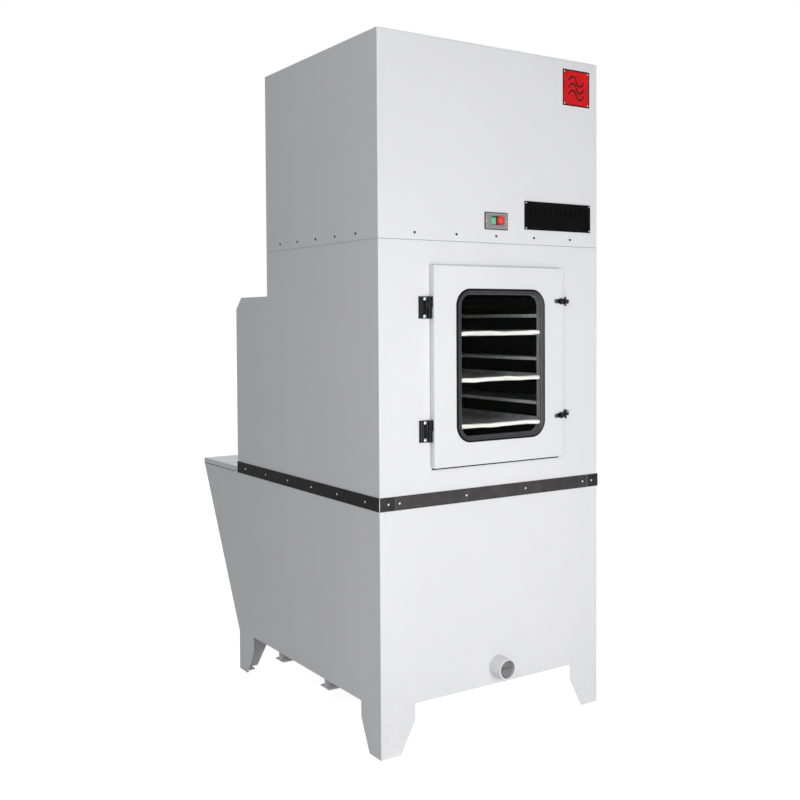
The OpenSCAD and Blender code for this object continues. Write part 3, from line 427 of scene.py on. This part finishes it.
def folded(name, nodes, front):
    """Front and side sheets as one folded sheet, with round corners where the front meets the sides."""
    radius = 2.6 * MM
    obj = to_object(name, cad_copy(nodes[0]))
    for node in nodes[1:]:
        boolean(obj, to_object("part", cad_copy(node)), "UNION")
    bm = bmesh.new()
    bm.from_mesh(obj.data)
    bmesh.ops.remove_doubles(bm, verts=bm.verts, dist=WELD)
    bmesh.ops.dissolve_limit(bm, angle_limit=FLAT, verts=bm.verts, edges=bm.edges)
    half = max(v.co.x for v in bm.verts)
    corner = [
        e
        for e in bm.edges
        if all(abs(abs(v.co.x) - half) < NEAR and abs(v.co.y - front) < NEAR for v in e.verts)
    ]
    bmesh.ops.bevel(
        bm, geom=corner, offset=radius, segments=5, profile=0.5, affect="EDGES", clamp_overlap=False
    )
    bm.to_mesh(obj.data)
    bm.free()
    smooth(obj)
    dressed(obj, "white_paint", "cabinet", nodes)
    rounded(obj, 0.35 * MM)
    return obj


def dark_inside(obj):
    """A second material on the faces that look into the cabinet's wet side: near black, as painted shade."""
    obj.data.materials.append(painted_shade_inside)
    outside, front_depth = 1.5 * MM, 30 * MM
    low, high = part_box("washer_left_panel")[0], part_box("washer_right_panel")[1]
    for f in obj.data.polygons:
        c, n = f.center, f.normal
        beside = abs(c.x) < high.x - outside and (n.x * c.x < -0.5 * abs(c.x))
        behind = c.y > low.y + outside and n.y > 0.5 and c.y < low.y + front_depth
        if beside or behind:
            f.material_index = 1


def turned(profile, segments=48):
    """A solid of revolution about Z from (radius, z) points; the first and last lie on the axis."""
    bm = bmesh.new()
    rings = []
    for r, z in profile:
        if r < 1e-9:
            rings.append([bm.verts.new((0, 0, z))])
        else:
            turn = [2 * math.pi * k / segments for k in range(segments)]
            rings.append([bm.verts.new((r * math.cos(t), r * math.sin(t), z)) for t in turn])
    for a, b in zip(rings, rings[1:]):
        for k in range(segments):
            quad = [a[k % len(a)], a[(k + 1) % len(a)], b[(k + 1) % len(b)], b[k % len(b)]]
            corners = list(dict.fromkeys(quad))
            if len(corners) > 2:
                bm.faces.new(corners)
    bmesh.ops.recalc_face_normals(bm, faces=bm.faces)
    return bm


def ring(profile, segments=96):
    """A closed ring of revolution about Z from a closed loop of (radius, z) points."""
    bm = bmesh.new()
    loops = []
    for k in range(segments):
        t = 2 * math.pi * k / segments
        loops.append([bm.verts.new((r * math.cos(t), r * math.sin(t), z)) for r, z in profile])
    count = len(profile)
    for k in range(segments):
        a, b = loops[k], loops[(k + 1) % segments]
        for i in range(count):
            bm.faces.new((a[i], a[(i + 1) % count], b[(i + 1) % count], b[i]))
    bmesh.ops.recalc_face_normals(bm, faces=bm.faces)
    return bm


def round_rect_path(x, z, radius, steps=14):
    """Points on a rectangle with round corners, each with its inward direction."""
    points = []
    for cx, cz, start in (
        (x[1] - radius, z[1] - radius, 0),
        (x[0] + radius, z[1] - radius, 90),
        (x[0] + radius, z[0] + radius, 180),
        (x[1] - radius, z[0] + radius, 270),
    ):
        for k in range(steps + 1):
            t = math.radians(start + 90 * k / steps)
            out = Vector((math.cos(t), math.sin(t)))
            points.append((Vector((cx, cz)) + radius * out, -out))
    return points


def swept(path, profile, bands=()):
    """A closed frame whose section, a loop of (inward, y) points, follows the path in the XZ plane.

    Each band, a (first, last) pair of places along the section, gets the next material.
    """
    bm = bmesh.new()
    loops = []
    for at, inward in path:
        loops.append([bm.verts.new((at.x + inward.x * d, y, at.y + inward.y * d)) for d, y in profile])
    count = len(profile)
    for a, b in zip(loops, loops[1:] + loops[:1]):
        for i in range(count):
            face = bm.faces.new((a[i], a[(i + 1) % count], b[(i + 1) % count], b[i]))
            for band, (first, last) in enumerate(bands, 1):
                if first <= i < last:
                    face.material_index = band
    bmesh.ops.recalc_face_normals(bm, faces=bm.faces)
    return bm


def islands(node):
    """(lowest corner, highest corner) of each separate solid in a CAD node."""
    bm = cad_copy(node)
    seen, found = set(), []
    for start in bm.verts:
        if start in seen:
            continue
        stack, group = [start], []
        seen.add(start)
        while stack:
            v = stack.pop()
            group.append(v.co.copy())
            for e in v.link_edges:
                other = e.other_vert(v)
                if other not in seen:
                    seen.add(other)
                    stack.append(other)
        found.append(tuple(Vector([pick(c[i] for c in group) for i in range(3)]) for pick in (min, max)))
    bm.free()
    return found


def head_mesh(kind):
    """A screw or rivet head of radius 1 and height 1, standing on Z = 0."""
    if kind == "rivet":
        dome = [(0, 0), (1, 0), (1, 0.12), (0.93, 0.42), (0.76, 0.7), (0.5, 0.9), (0.25, 0.98), (0, 1)]
        return to_object("head", turned(dome, 24)).data
    pan = [(0, 0), (1, 0), (1, 0.3), (0.95, 0.58), (0.82, 0.82), (0.6, 0.95), (0.3, 1.0), (0, 1.0)]
    obj = to_object("head", turned(pan, 28))
    arm, reach = 0.14, 0.56
    bm = bmesh.new()
    outline = [
        (arm, arm), (reach, arm), (reach, -arm), (arm, -arm), (arm, -reach), (-arm, -reach),
        (-arm, -arm), (-reach, -arm), (-reach, arm), (-arm, arm), (-arm, reach), (arm, reach),
    ]
    low = [bm.verts.new((x * 0.6, y * 0.6, 0.35)) for x, y in outline]
    high = [bm.verts.new((x * 1.1, y * 1.1, 1.3)) for x, y in outline]
    bm.faces.new(low)
    bm.faces.new(high[::-1])
    for k in range(len(outline)):
        n = (k + 1) % len(outline)
        bm.faces.new((low[k], high[k], high[n], low[n]))
    bmesh.ops.recalc_face_normals(bm, faces=bm.faces)
    return boolean(obj, to_object("cross", bm), "DIFFERENCE").data


def facing(direction):
    """A turn that takes +Z to the direction."""
    return Vector((0, 0, 1)).rotation_difference(direction).to_matrix().to_4x4()


def head_group(name, spots):
    """One object of screw and rivet heads, from (kind, foot, outward direction, radius, height) of each."""
    shapes = {k: head_mesh(k) for k in ("screw", "rivet")}
    bm = bmesh.new()
    for k, (kind, base, out, radius, height) in enumerate(spots):
        scaled = Matrix.Diagonal((radius, radius, height, 1))
        mesh = shapes[kind].copy()
        mesh.transform(Matrix.Translation(base) @ facing(out) @ Matrix.Rotation(k * 1.3, 4, "Z") @ scaled)
        bm.from_mesh(mesh)
    for extra in [o for o in bpy.data.objects if o.name.startswith("head")]:
        bpy.data.objects.remove(extra)
    obj = to_object(name, bm)
    smooth(obj, 30.0)
    return obj


def heads(node, kinds):
    """Detailed heads in place of a CAD node's plain ones; kinds names the sort of each from its middle."""
    spots = []
    for low, high in islands(node):
        size, middle = high - low, (low + high) / 2
        if size.y < size.x:
            base = Vector((middle.x, high.y, middle.z))
            spots.append((kinds(middle), base, Vector((0, -1, 0)), size.x / 2, size.y))
        else:
            side = 1 if middle.x > 0 else -1
            base = Vector((low.x if side > 0 else high.x, middle.y, middle.z))
            spots.append((kinds(middle), base, Vector((side, 0, 0)), size.y / 2, size.x))
    return dressed(head_group("fixed_" + node, spots), node_slot[node], node_body[node], [node])


# ---- the cabinet's sheets ------------------------------------------------------------------------

front_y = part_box("tank_front_panel")[0].y
folded("tank_shell", ["tank_front_panel", "tank_left_panel", "tank_right_panel"], front_y)
washer = folded("washer_shell", ["washer_front_panel", "washer_left_panel", "washer_right_panel"], front_y)
dark_inside(washer)
folded("top_shell", ["top_front_panel", "top_left_panel", "top_right_panel"], front_y)
for node in (
    "tank_sloped_back", "tank_floor", "tank_underframe", "foot_plates", "rear_ledge",
    "tank_lid", "plenum_back_panel", "plenum_roof", "top_back_panel", "roof_panel", "inlet_sockets",
):
    refined(node)
partition = refined("plenum_partition")
# The partition's faces, all but the one facing back, get the near-black inside colour: painted shade.
partition.data.materials.append(painted_shade_inside)
for f in partition.data.polygons:
    if f.normal.y < 0.5:
        f.material_index = 1
for node in ("tank_rim_seal", "lid_fittings", "joint_strip_front"):
    refined(node, 0.6 * MM)
# The side strips, wrap and all, get the darker rubber: painted shade.
refined("joint_strip_sides", 1.8 * MM, 3, side_strip_painted_shade)

# ---- screws and rivets ---------------------------------------------------------------------------

heads("seam_screws", lambda at: "screw")
heads("bright_fasteners", lambda at: "rivet" if at.z > badge_low.z else "screw")

# ---- door ----------------------------------------------------------------------------------------

refined("door_panel", 1.1 * MM, 3)
# The dark seal showing below the door's bottom edge is a real seal and also a painted shadow under the door.
refined("door_seal", 0.5 * MM)
# The hinges' bevel faces get the lighter grey: wear with a painted highlight.
for node in ("hinge_leaves", "door_hinge_leaves"):
    refined(node, 0.35 * MM, 2, edge_material=worn_edge_and_highlight)
# The latches' bevel faces get the dark grey: wear with a painted highlight.
for node in ("latch_bases", "latch_keepers", "upper_latch_arm", "lower_latch_arm"):
    refined(node, 0.7 * MM, 3, edge_material=rubbed_edge_and_highlight)

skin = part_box("door_panel")[0].y
FROM_PIVOT, BASE_FACE, HEAD_RADIUS, HEAD_HEIGHT = 20 * MM, 2.9 * MM, 5.6 * MM, 2.6 * MM
spots = []
for joint in frame["record"]["behaviour"]["joints"]:
    if joint["name"].endswith("latch_swing"):
        pivot, turn = Vector(joint["pos_m"]), Vector(joint["axis"]).normalized()
        along = turn.cross(Vector((0, 1, 0)))
        foot = pivot - FROM_PIVOT * along
        base = Vector((foot.x, skin - BASE_FACE, foot.z))
        spots.append(("screw", base, Vector((0, -1, 0)), HEAD_RADIUS, HEAD_HEIGHT))
dressed(head_group("latch_base_screws", spots), "zinc", "door", (), dull_zinc)

low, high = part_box("window_gasket")
lip_front, lip_back = low.y, high.y
GASKET = [
    (0.0, skin + 0.1 * MM), (0.2 * MM, skin - 1.4 * MM), (1.0 * MM, skin - 2.5 * MM),
    (2.6 * MM, skin - 3.1 * MM), (3.6 * MM, skin - 2.8 * MM), (4.2 * MM, skin - 1.9 * MM),
    (5.0 * MM, skin - 1.9 * MM), (5.6 * MM, lip_front + 0.6 * MM),
    (7.6 * MM, lip_front), (11.6 * MM, lip_front + 0.1 * MM), (12.8 * MM, lip_front + 0.9 * MM),
    (13.3 * MM, skin - 1.0 * MM), (14.4 * MM, skin - 1.0 * MM), (15.0 * MM, lip_front + 1.2 * MM),
    (17.2 * MM, lip_front + 0.9 * MM), (19.8 * MM, lip_front + 1.5 * MM), (21.0 * MM, lip_front + 2.4 * MM),
    (21.0 * MM, lip_back - 1.0 * MM), (20.0 * MM, lip_back), (2.0 * MM, lip_back), (0.0, lip_back - 1.5 * MM),
]
OUTER_LIP, GROOVE = (0, 8), (11, 13)
WINDOW_CORNER = 62 * MM
path = round_rect_path((low.x, high.x), (low.z, high.z), WINDOW_CORNER)
gasket = to_object("window_gasket_frame", swept(path, GASKET, [OUTER_LIP, GROOVE]))
smooth(gasket, 50.0)
dressed(gasket, "black_rubber", "door", ["window_gasket"], gasket_rubber)
# The outer lip and the groove get the near-black rubber: painted shade along the outer edge and in the
# groove.
for band in (OUTER_LIP, GROOVE):
    gasket.data.materials.append(painted_shade_black)
refined("window_retainer", 0.8 * MM, 3)
frame["nodes"]["window_glass"].data.materials.clear()
frame["nodes"]["window_glass"].data.materials.append(MATERIALS["clear_glass"])


def foam_strip(name, low, high, phase):
    """A soft bar whose edges wander a little, as cut foam does."""
    bm = bmesh.new()
    steps, sides = 60, 12
    middle, half = (low + high) / 2, (high - low) / 2
    loops = []
    for k in range(steps + 1):
        t = k / steps
        x = low.x + t * (high.x - low.x)
        end = min(1.0, 0.86 + 14 * min(t, 1 - t))
        rise = 1.3 * MM * math.sin(9 * t + phase) + 0.7 * MM * math.sin(23 * t + 2 * phase)
        tall = (half.z - 1.6 * MM) * (1 + 0.07 * math.sin(13 * t + 1.7 * phase))
        loop = []
        for s in range(sides):
            a = 2 * math.pi * s / sides
            c, d = math.cos(a), math.sin(a)
            y = middle.y + end * half.y * math.copysign(abs(c) ** 0.35, c)
            loop.append(bm.verts.new((x, y, middle.z + rise + end * tall * math.copysign(abs(d) ** 0.35, d))))
        loops.append(loop)
    for a, b in zip(loops, loops[1:]):
        for s in range(sides):
            bm.faces.new((a[s], a[(s + 1) % sides], b[(s + 1) % sides], b[s]))
    bm.faces.new(loops[0])
    bm.faces.new(loops[-1][::-1])
    bmesh.ops.recalc_face_normals(bm, faces=bm.faces)
    return to_object(name, bm)


for k, (low, high) in enumerate(sorted(islands("tray_seal_strips"), key=lambda b: b[0].z)):
    strip = foam_strip(f"tray_seal_{k}", low, high, 1.1 + 2.3 * k)
    smooth(strip, 60.0)
    dressed(strip, "white_foam", "door", ["tray_seal_strips"])

# ---- switch, grille and nameplate ----------------------------------------------------------------

housing = refined("switch_housing", 0.8 * MM, 3)
housing.data.materials.append(switch_dark)
low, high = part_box("switch_housing")
RIM = 5 * MM
for f in housing.data.polygons:
    if f.normal.y > -0.5 or f.center.y > low.y + 0.7 * MM:
        f.material_index = 1
plate_x, plate_z = (low.x + RIM, high.x - RIM), (low.z + RIM, high.z - RIM)
foot, crest = low.y + 0.5 * MM, low.y - 0.3 * MM
# A pale line round the raised plate's edge: a painted highlight.
line = [(0.0, foot), (0.1 * MM, crest), (1.5 * MM, crest), (1.7 * MM, foot)]
line = to_object("switch_plate_line", swept(round_rect_path(plate_x, plate_z, 2 * MM, 4), line))
dressed(line, "switch_grey", "cabinet", (), switch_painted_highlight)
refined("start_button", 0.6 * MM, 3)
stop = refined("stop_button", 0.9 * MM, 3)
# The stop button's faces, all but its front, get the darker red: painted shade.
stop.data.materials.append(red_painted_shade)
for f in stop.data.polygons:
    if f.normal.y > -0.5:
        f.material_index = 1
refined("vent_grille", 0.4 * MM)
refined("nameplate", 0.15 * MM)


def bar(bm, low, high):
    verts = bmesh.ops.create_cube(bm, size=1.0)["verts"]
    middle, size = (Vector(low) + Vector(high)) / 2, Vector(high) - Vector(low)
    for v in verts:
        v.co = middle + Vector([v.co[i] * size[i] for i in range(3)])


low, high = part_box("joint_strip_front")
on_strip = [(a + b) / 2 for a, b in islands("bright_fasteners") if a.y < low.y and low.z < a.z < high.z]
last_two = sorted(at.x for at in on_strip)[-2:]
LEFT_LAP, RIGHT_LAP = 0.7 * MM, 1.4 * MM
laps = bmesh.new()
for x, width in ((low.x + 0.2 * MM, LEFT_LAP), (sum(last_two) / 2, RIGHT_LAP)):
    bar(laps, (x, low.y - 0.2 * MM, low.z + 0.6 * MM), (x + width, low.y + 0.5 * MM, high.z - 0.6 * MM))
laps = to_object("joint_strip_laps", laps)
dressed(laps, "strip_rubber", "cabinet", (), cut_edge)
# Pale bars along the side strips' corner folds: a painted highlight.
sides_low, sides_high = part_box("joint_strip_sides")
folds = bmesh.new()
IN, OUT = 0.12 * MM, 2.0 * MM
fold_z = (sides_low.z + 0.8 * MM, sides_high.z - 0.8 * MM)
for x in ((sides_low.x + IN, sides_low.x + OUT), (sides_high.x - OUT, sides_high.x - IN)):
    bar(folds, (x[0], sides_low.y + IN, fold_z[0]), (x[1], sides_low.y + OUT, fold_z[1]))
folds = to_object("joint_strip_folds", folds)
dressed(folds, "strip_rubber", "cabinet", (), fold_painted_highlight)

low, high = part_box("vent_grille")
ribs = bmesh.new()
RIB_COUNT, FIRST_RIB, RIB_PITCH, RIB_HEIGHT = 6, 16, 6.5, 2.2
for k in range(RIB_COUNT):
    z = low.z + (FIRST_RIB + RIB_PITCH * k) * MM
    top = z + RIB_HEIGHT * MM
    bar(ribs, (low.x + 18 * MM, low.y + 1.0 * MM, z), (high.x - 18 * MM, low.y + 2.0 * MM, top))
ribs = to_object("grille_ribs", ribs)
smooth(ribs)
dressed(ribs, "grille_black", "cabinet")
rounded(ribs, 0.35 * MM)

gauze = bmesh.new()
WIRE, WIRE_PITCH = 1.5 * MM, 2.2 * MM
MARGIN, GAUZE_FOOT, GAUZE_HEAD = 17 * MM, 50 * MM, 87 * MM
mesh_x, mesh_z = (low.x + MARGIN, high.x - MARGIN), (low.z + GAUZE_FOOT, low.z + GAUZE_HEAD)
for k in range(int((mesh_x[1] - mesh_x[0]) / WIRE_PITCH)):
    x = mesh_x[0] + k * WIRE_PITCH
    bar(gauze, (x, high.y + 0.1 * MM, mesh_z[0]), (x + WIRE, high.y + 0.7 * MM, mesh_z[1]))
for k in range(int((mesh_z[1] - mesh_z[0]) / WIRE_PITCH)):
    z = mesh_z[0] + k * WIRE_PITCH
    bar(gauze, (mesh_x[0], high.y + 0.6 * MM, z), (mesh_x[1], high.y + 1.2 * MM, z + WIRE))
gauze = to_object("grille_gauze", gauze)
dressed(gauze, "grille_black", "cabinet")

low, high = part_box("start_button")
ridges = bmesh.new()
RIDGE_COUNT, FIRST_RIDGE, RIDGE_PITCH = 5, 3.5, 4.4
for k in range(RIDGE_COUNT):
    z = low.z + (FIRST_RIDGE + RIDGE_PITCH * k) * MM
    bar(ridges, (low.x + 2.0 * MM, low.y - 0.6 * MM, z), (high.x - 2.0 * MM, low.y + 0.5 * MM, z + 1.6 * MM))
ridges = to_object("start_button_ridges", ridges)
smooth(ridges)
dressed(ridges, "green_plastic", "start", (), pale_green)
# Dark green bars across the start button's top and bottom: a painted shadow.
painted_shadow_bars = bmesh.new()
for z in ((high.z - 5.5 * MM, high.z - 0.6 * MM), (low.z + 0.6 * MM, low.z + 2.4 * MM)):
    bar(painted_shadow_bars, (low.x + 0.6 * MM, low.y - 0.4 * MM, z[0]), (high.x - 0.6 * MM, low.y + 0.9 * MM, z[1]))
painted_shadow_bars = to_object("start_button_ends", painted_shadow_bars)
dressed(painted_shadow_bars, "green_plastic", "start", (), green_painted_shadow)

low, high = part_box("stop_button")
mark = [
    (3.6 * MM, -0.3 * MM), (3.8 * MM, 0.3 * MM), (4.6 * MM, 0.58 * MM),
    (6.4 * MM, 0.58 * MM), (7.4 * MM, 0.3 * MM), (7.6 * MM, -0.3 * MM),
]
mark = to_object("stop_button_ring", ring(mark, 64))
middle = (low + high) / 2
mark.data.transform(Matrix.Translation((middle.x, low.y + 0.6 * MM, middle.z)) @ TO_FRONT)
smooth(mark, 50.0)
dressed(mark, "red_plastic", "stop", (), pale_red)

# ---- drain ---------------------------------------------------------------------------------------


def on_drain(obj, low, high):
    """Stands a piece made about Z at the drain, with its +Z pointing out of the front."""
    middle = (low + high) / 2
    obj.data.transform(Matrix.Translation((middle.x, front_y, middle.z)) @ TO_FRONT)
    return obj


low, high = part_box("drain_socket")
outer, out_l, in_l = (high.x - low.x) / 2, front_y - low.y, high.y - front_y
plug_low, plug_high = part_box("drain_plug")
radius = (plug_high.x - plug_low.x) / 2
bore = radius + 0.3 * MM
section = [(bore, -in_l), (outer, -in_l), (outer, 2 * MM), (outer, 10 * MM)]
THREADS, FIRST_THREAD, THREAD_PITCH = 4, 14, 4.5
root = outer - 0.9 * MM
for k in range(THREADS):
    z = (FIRST_THREAD + THREAD_PITCH * k) * MM
    section += [(outer, z), (root, z + 1.2 * MM), (root, z + 1.8 * MM), (outer, z + 3.0 * MM)]
section += [
    (outer, out_l - 14 * MM), (outer - 0.5 * MM, out_l - 13 * MM), (outer - 0.5 * MM, out_l - 12 * MM),
    (outer, out_l - 11 * MM), (outer, out_l - 1.8 * MM), (outer - 0.6 * MM, out_l - 0.5 * MM),
    (outer - 1.8 * MM, out_l), (bore + 1.6 * MM, out_l), (bore + 0.4 * MM, out_l - 0.6 * MM),
    (bore, out_l - 2.0 * MM),
]
socket = on_drain(to_object("drain_pipe", ring(section)), low, high)
smooth(socket, 32.0)
dressed(socket, "white_paint", "cabinet", ["drain_socket"], white_socket)

face = front_y - plug_low.y - 4 * MM
deep = front_y - plug_high.y
cast = [
    (0, deep), (radius - 1 * MM, deep), (radius, deep + 1 * MM), (radius, face - 1.2 * MM),
    (radius - 1.2 * MM, face), (radius - 4 * MM, face), (radius - 5 * MM, face - 1.6 * MM),
    (radius * 0.4, face - 1.9 * MM), (0, face - 1.9 * MM),
]
plug = on_drain(to_object("drain_plug_cast", turned(cast, 64)), plug_low, plug_high)
HALF_LENGTH, HALF_WIDTH = 20 * MM, 4.5 * MM
grip = bmesh.new()
bar(grip, (-HALF_LENGTH, -HALF_WIDTH, face - 2.5 * MM), (HALF_LENGTH, HALF_WIDTH, face + 4 * MM))
grip = on_drain(to_object("bar", grip), plug_low, plug_high)
boolean(plug, grip, "UNION")
smooth(plug, 35.0)
dressed(plug, "plug_metal", "plug", ["drain_plug"])
rounded(plug, 0.6 * MM, 3)

# ---- what is inside ------------------------------------------------------------------------------

for node in (
    "left_trays", "right_trays", "hinge_pins", "mist_eliminator", "wash_pipe", "circulation_pump",
    "fan_deck", "fan_deck_edges", "fan_inlet_ring", "fan_scroll", "fan_hub", "fan_shroud", "fan_blades",
    "motor",
):
    data = frame["nodes"][node].data
    data.materials.clear()
    data.materials.append(MATERIALS[node_slot[node]])

# ---- floor, light and camera ---------------------------------------------------------------------

FLOOR_SIZE, WORLD_FILL = 60.0, 0.27
bpy.ops.mesh.primitive_plane_add(size=FLOOR_SIZE, location=(0.0, 0.0, 0.0))
floor = bpy.context.object
floor.name = "floor"
floor.data.materials.append(pale_floor("pale_floor"))

world = bpy.data.worlds.new("studio")
bpy.context.scene.world = world
world.use_nodes = True
tree = world.node_tree
soft = tree.nodes["Background"]
soft.inputs["Color"].default_value = (0.97, 0.98, 1.0, 1.0)
soft.inputs["Strength"].default_value = WORLD_FILL
seen = tree.nodes.new("ShaderNodeBackground")
seen.inputs["Strength"].default_value = 1.0
seen.inputs["Color"].default_value = (1.0, 1.0, 1.0, 1.0)
path = tree.nodes.new("ShaderNodeLightPath")
choose = tree.nodes.new("ShaderNodeMixShader")
tree.links.new(path.outputs["Is Camera Ray"], choose.inputs[0])
tree.links.new(soft.outputs[0], choose.inputs[1])
tree.links.new(seen.outputs[0], choose.inputs[2])
tree.links.new(choose.outputs[0], tree.nodes["World Output"].inputs["Surface"])


def softbox(name, place, target, size, power):
    lamp = bpy.data.lights.new(name, "AREA")
    lamp.shape = "DISK"
    lamp.size = size
    lamp.energy = power
    obj = bpy.data.objects.new(name, lamp)
    bpy.context.scene.collection.objects.link(obj)
    obj.location = place
    obj.visible_camera = False
    obj.rotation_euler = (Vector(target) - Vector(place)).to_track_quat("-Z", "Y").to_euler()


softbox("key", (-0.3, -4.3, 1.0), (0.05, -0.8, 0.9), 1.9, 72.0)
softbox("upper_left", (-3.4, -3.8, 3.1), (-0.4, -0.8, 1.7), 0.9, 47.0)
softbox("back", (1.5, 6.5, 3.4), (0.0, 0.5, 1.2), 3.0, 60.0)

CAMERA_AT = Vector((-2.3460, -3.7001, 1.4991))
YAW, PITCH, ROLL = 0.5789, -0.0301, -0.0059
LENS, SHIFT_Y = 46.641, -0.0602
forward = Vector((math.sin(YAW) * math.cos(PITCH), math.cos(YAW) * math.cos(PITCH), math.sin(PITCH)))
level = Vector((math.cos(YAW), -math.sin(YAW), 0.0))
above = level.cross(forward)
right = math.cos(ROLL) * level + math.sin(ROLL) * above
up = -math.sin(ROLL) * level + math.cos(ROLL) * above
camera = bpy.data.objects.new("camera", bpy.data.cameras.new("camera"))
bpy.context.scene.collection.objects.link(camera)
camera.matrix_world = Matrix.Translation(CAMERA_AT) @ Matrix((right, up, -forward)).transposed().to_4x4()
camera.data.lens = LENS
camera.data.shift_y = SHIFT_Y
bpy.context.scene.camera = camera
bpy.context.scene.view_settings.view_transform = "Standard"
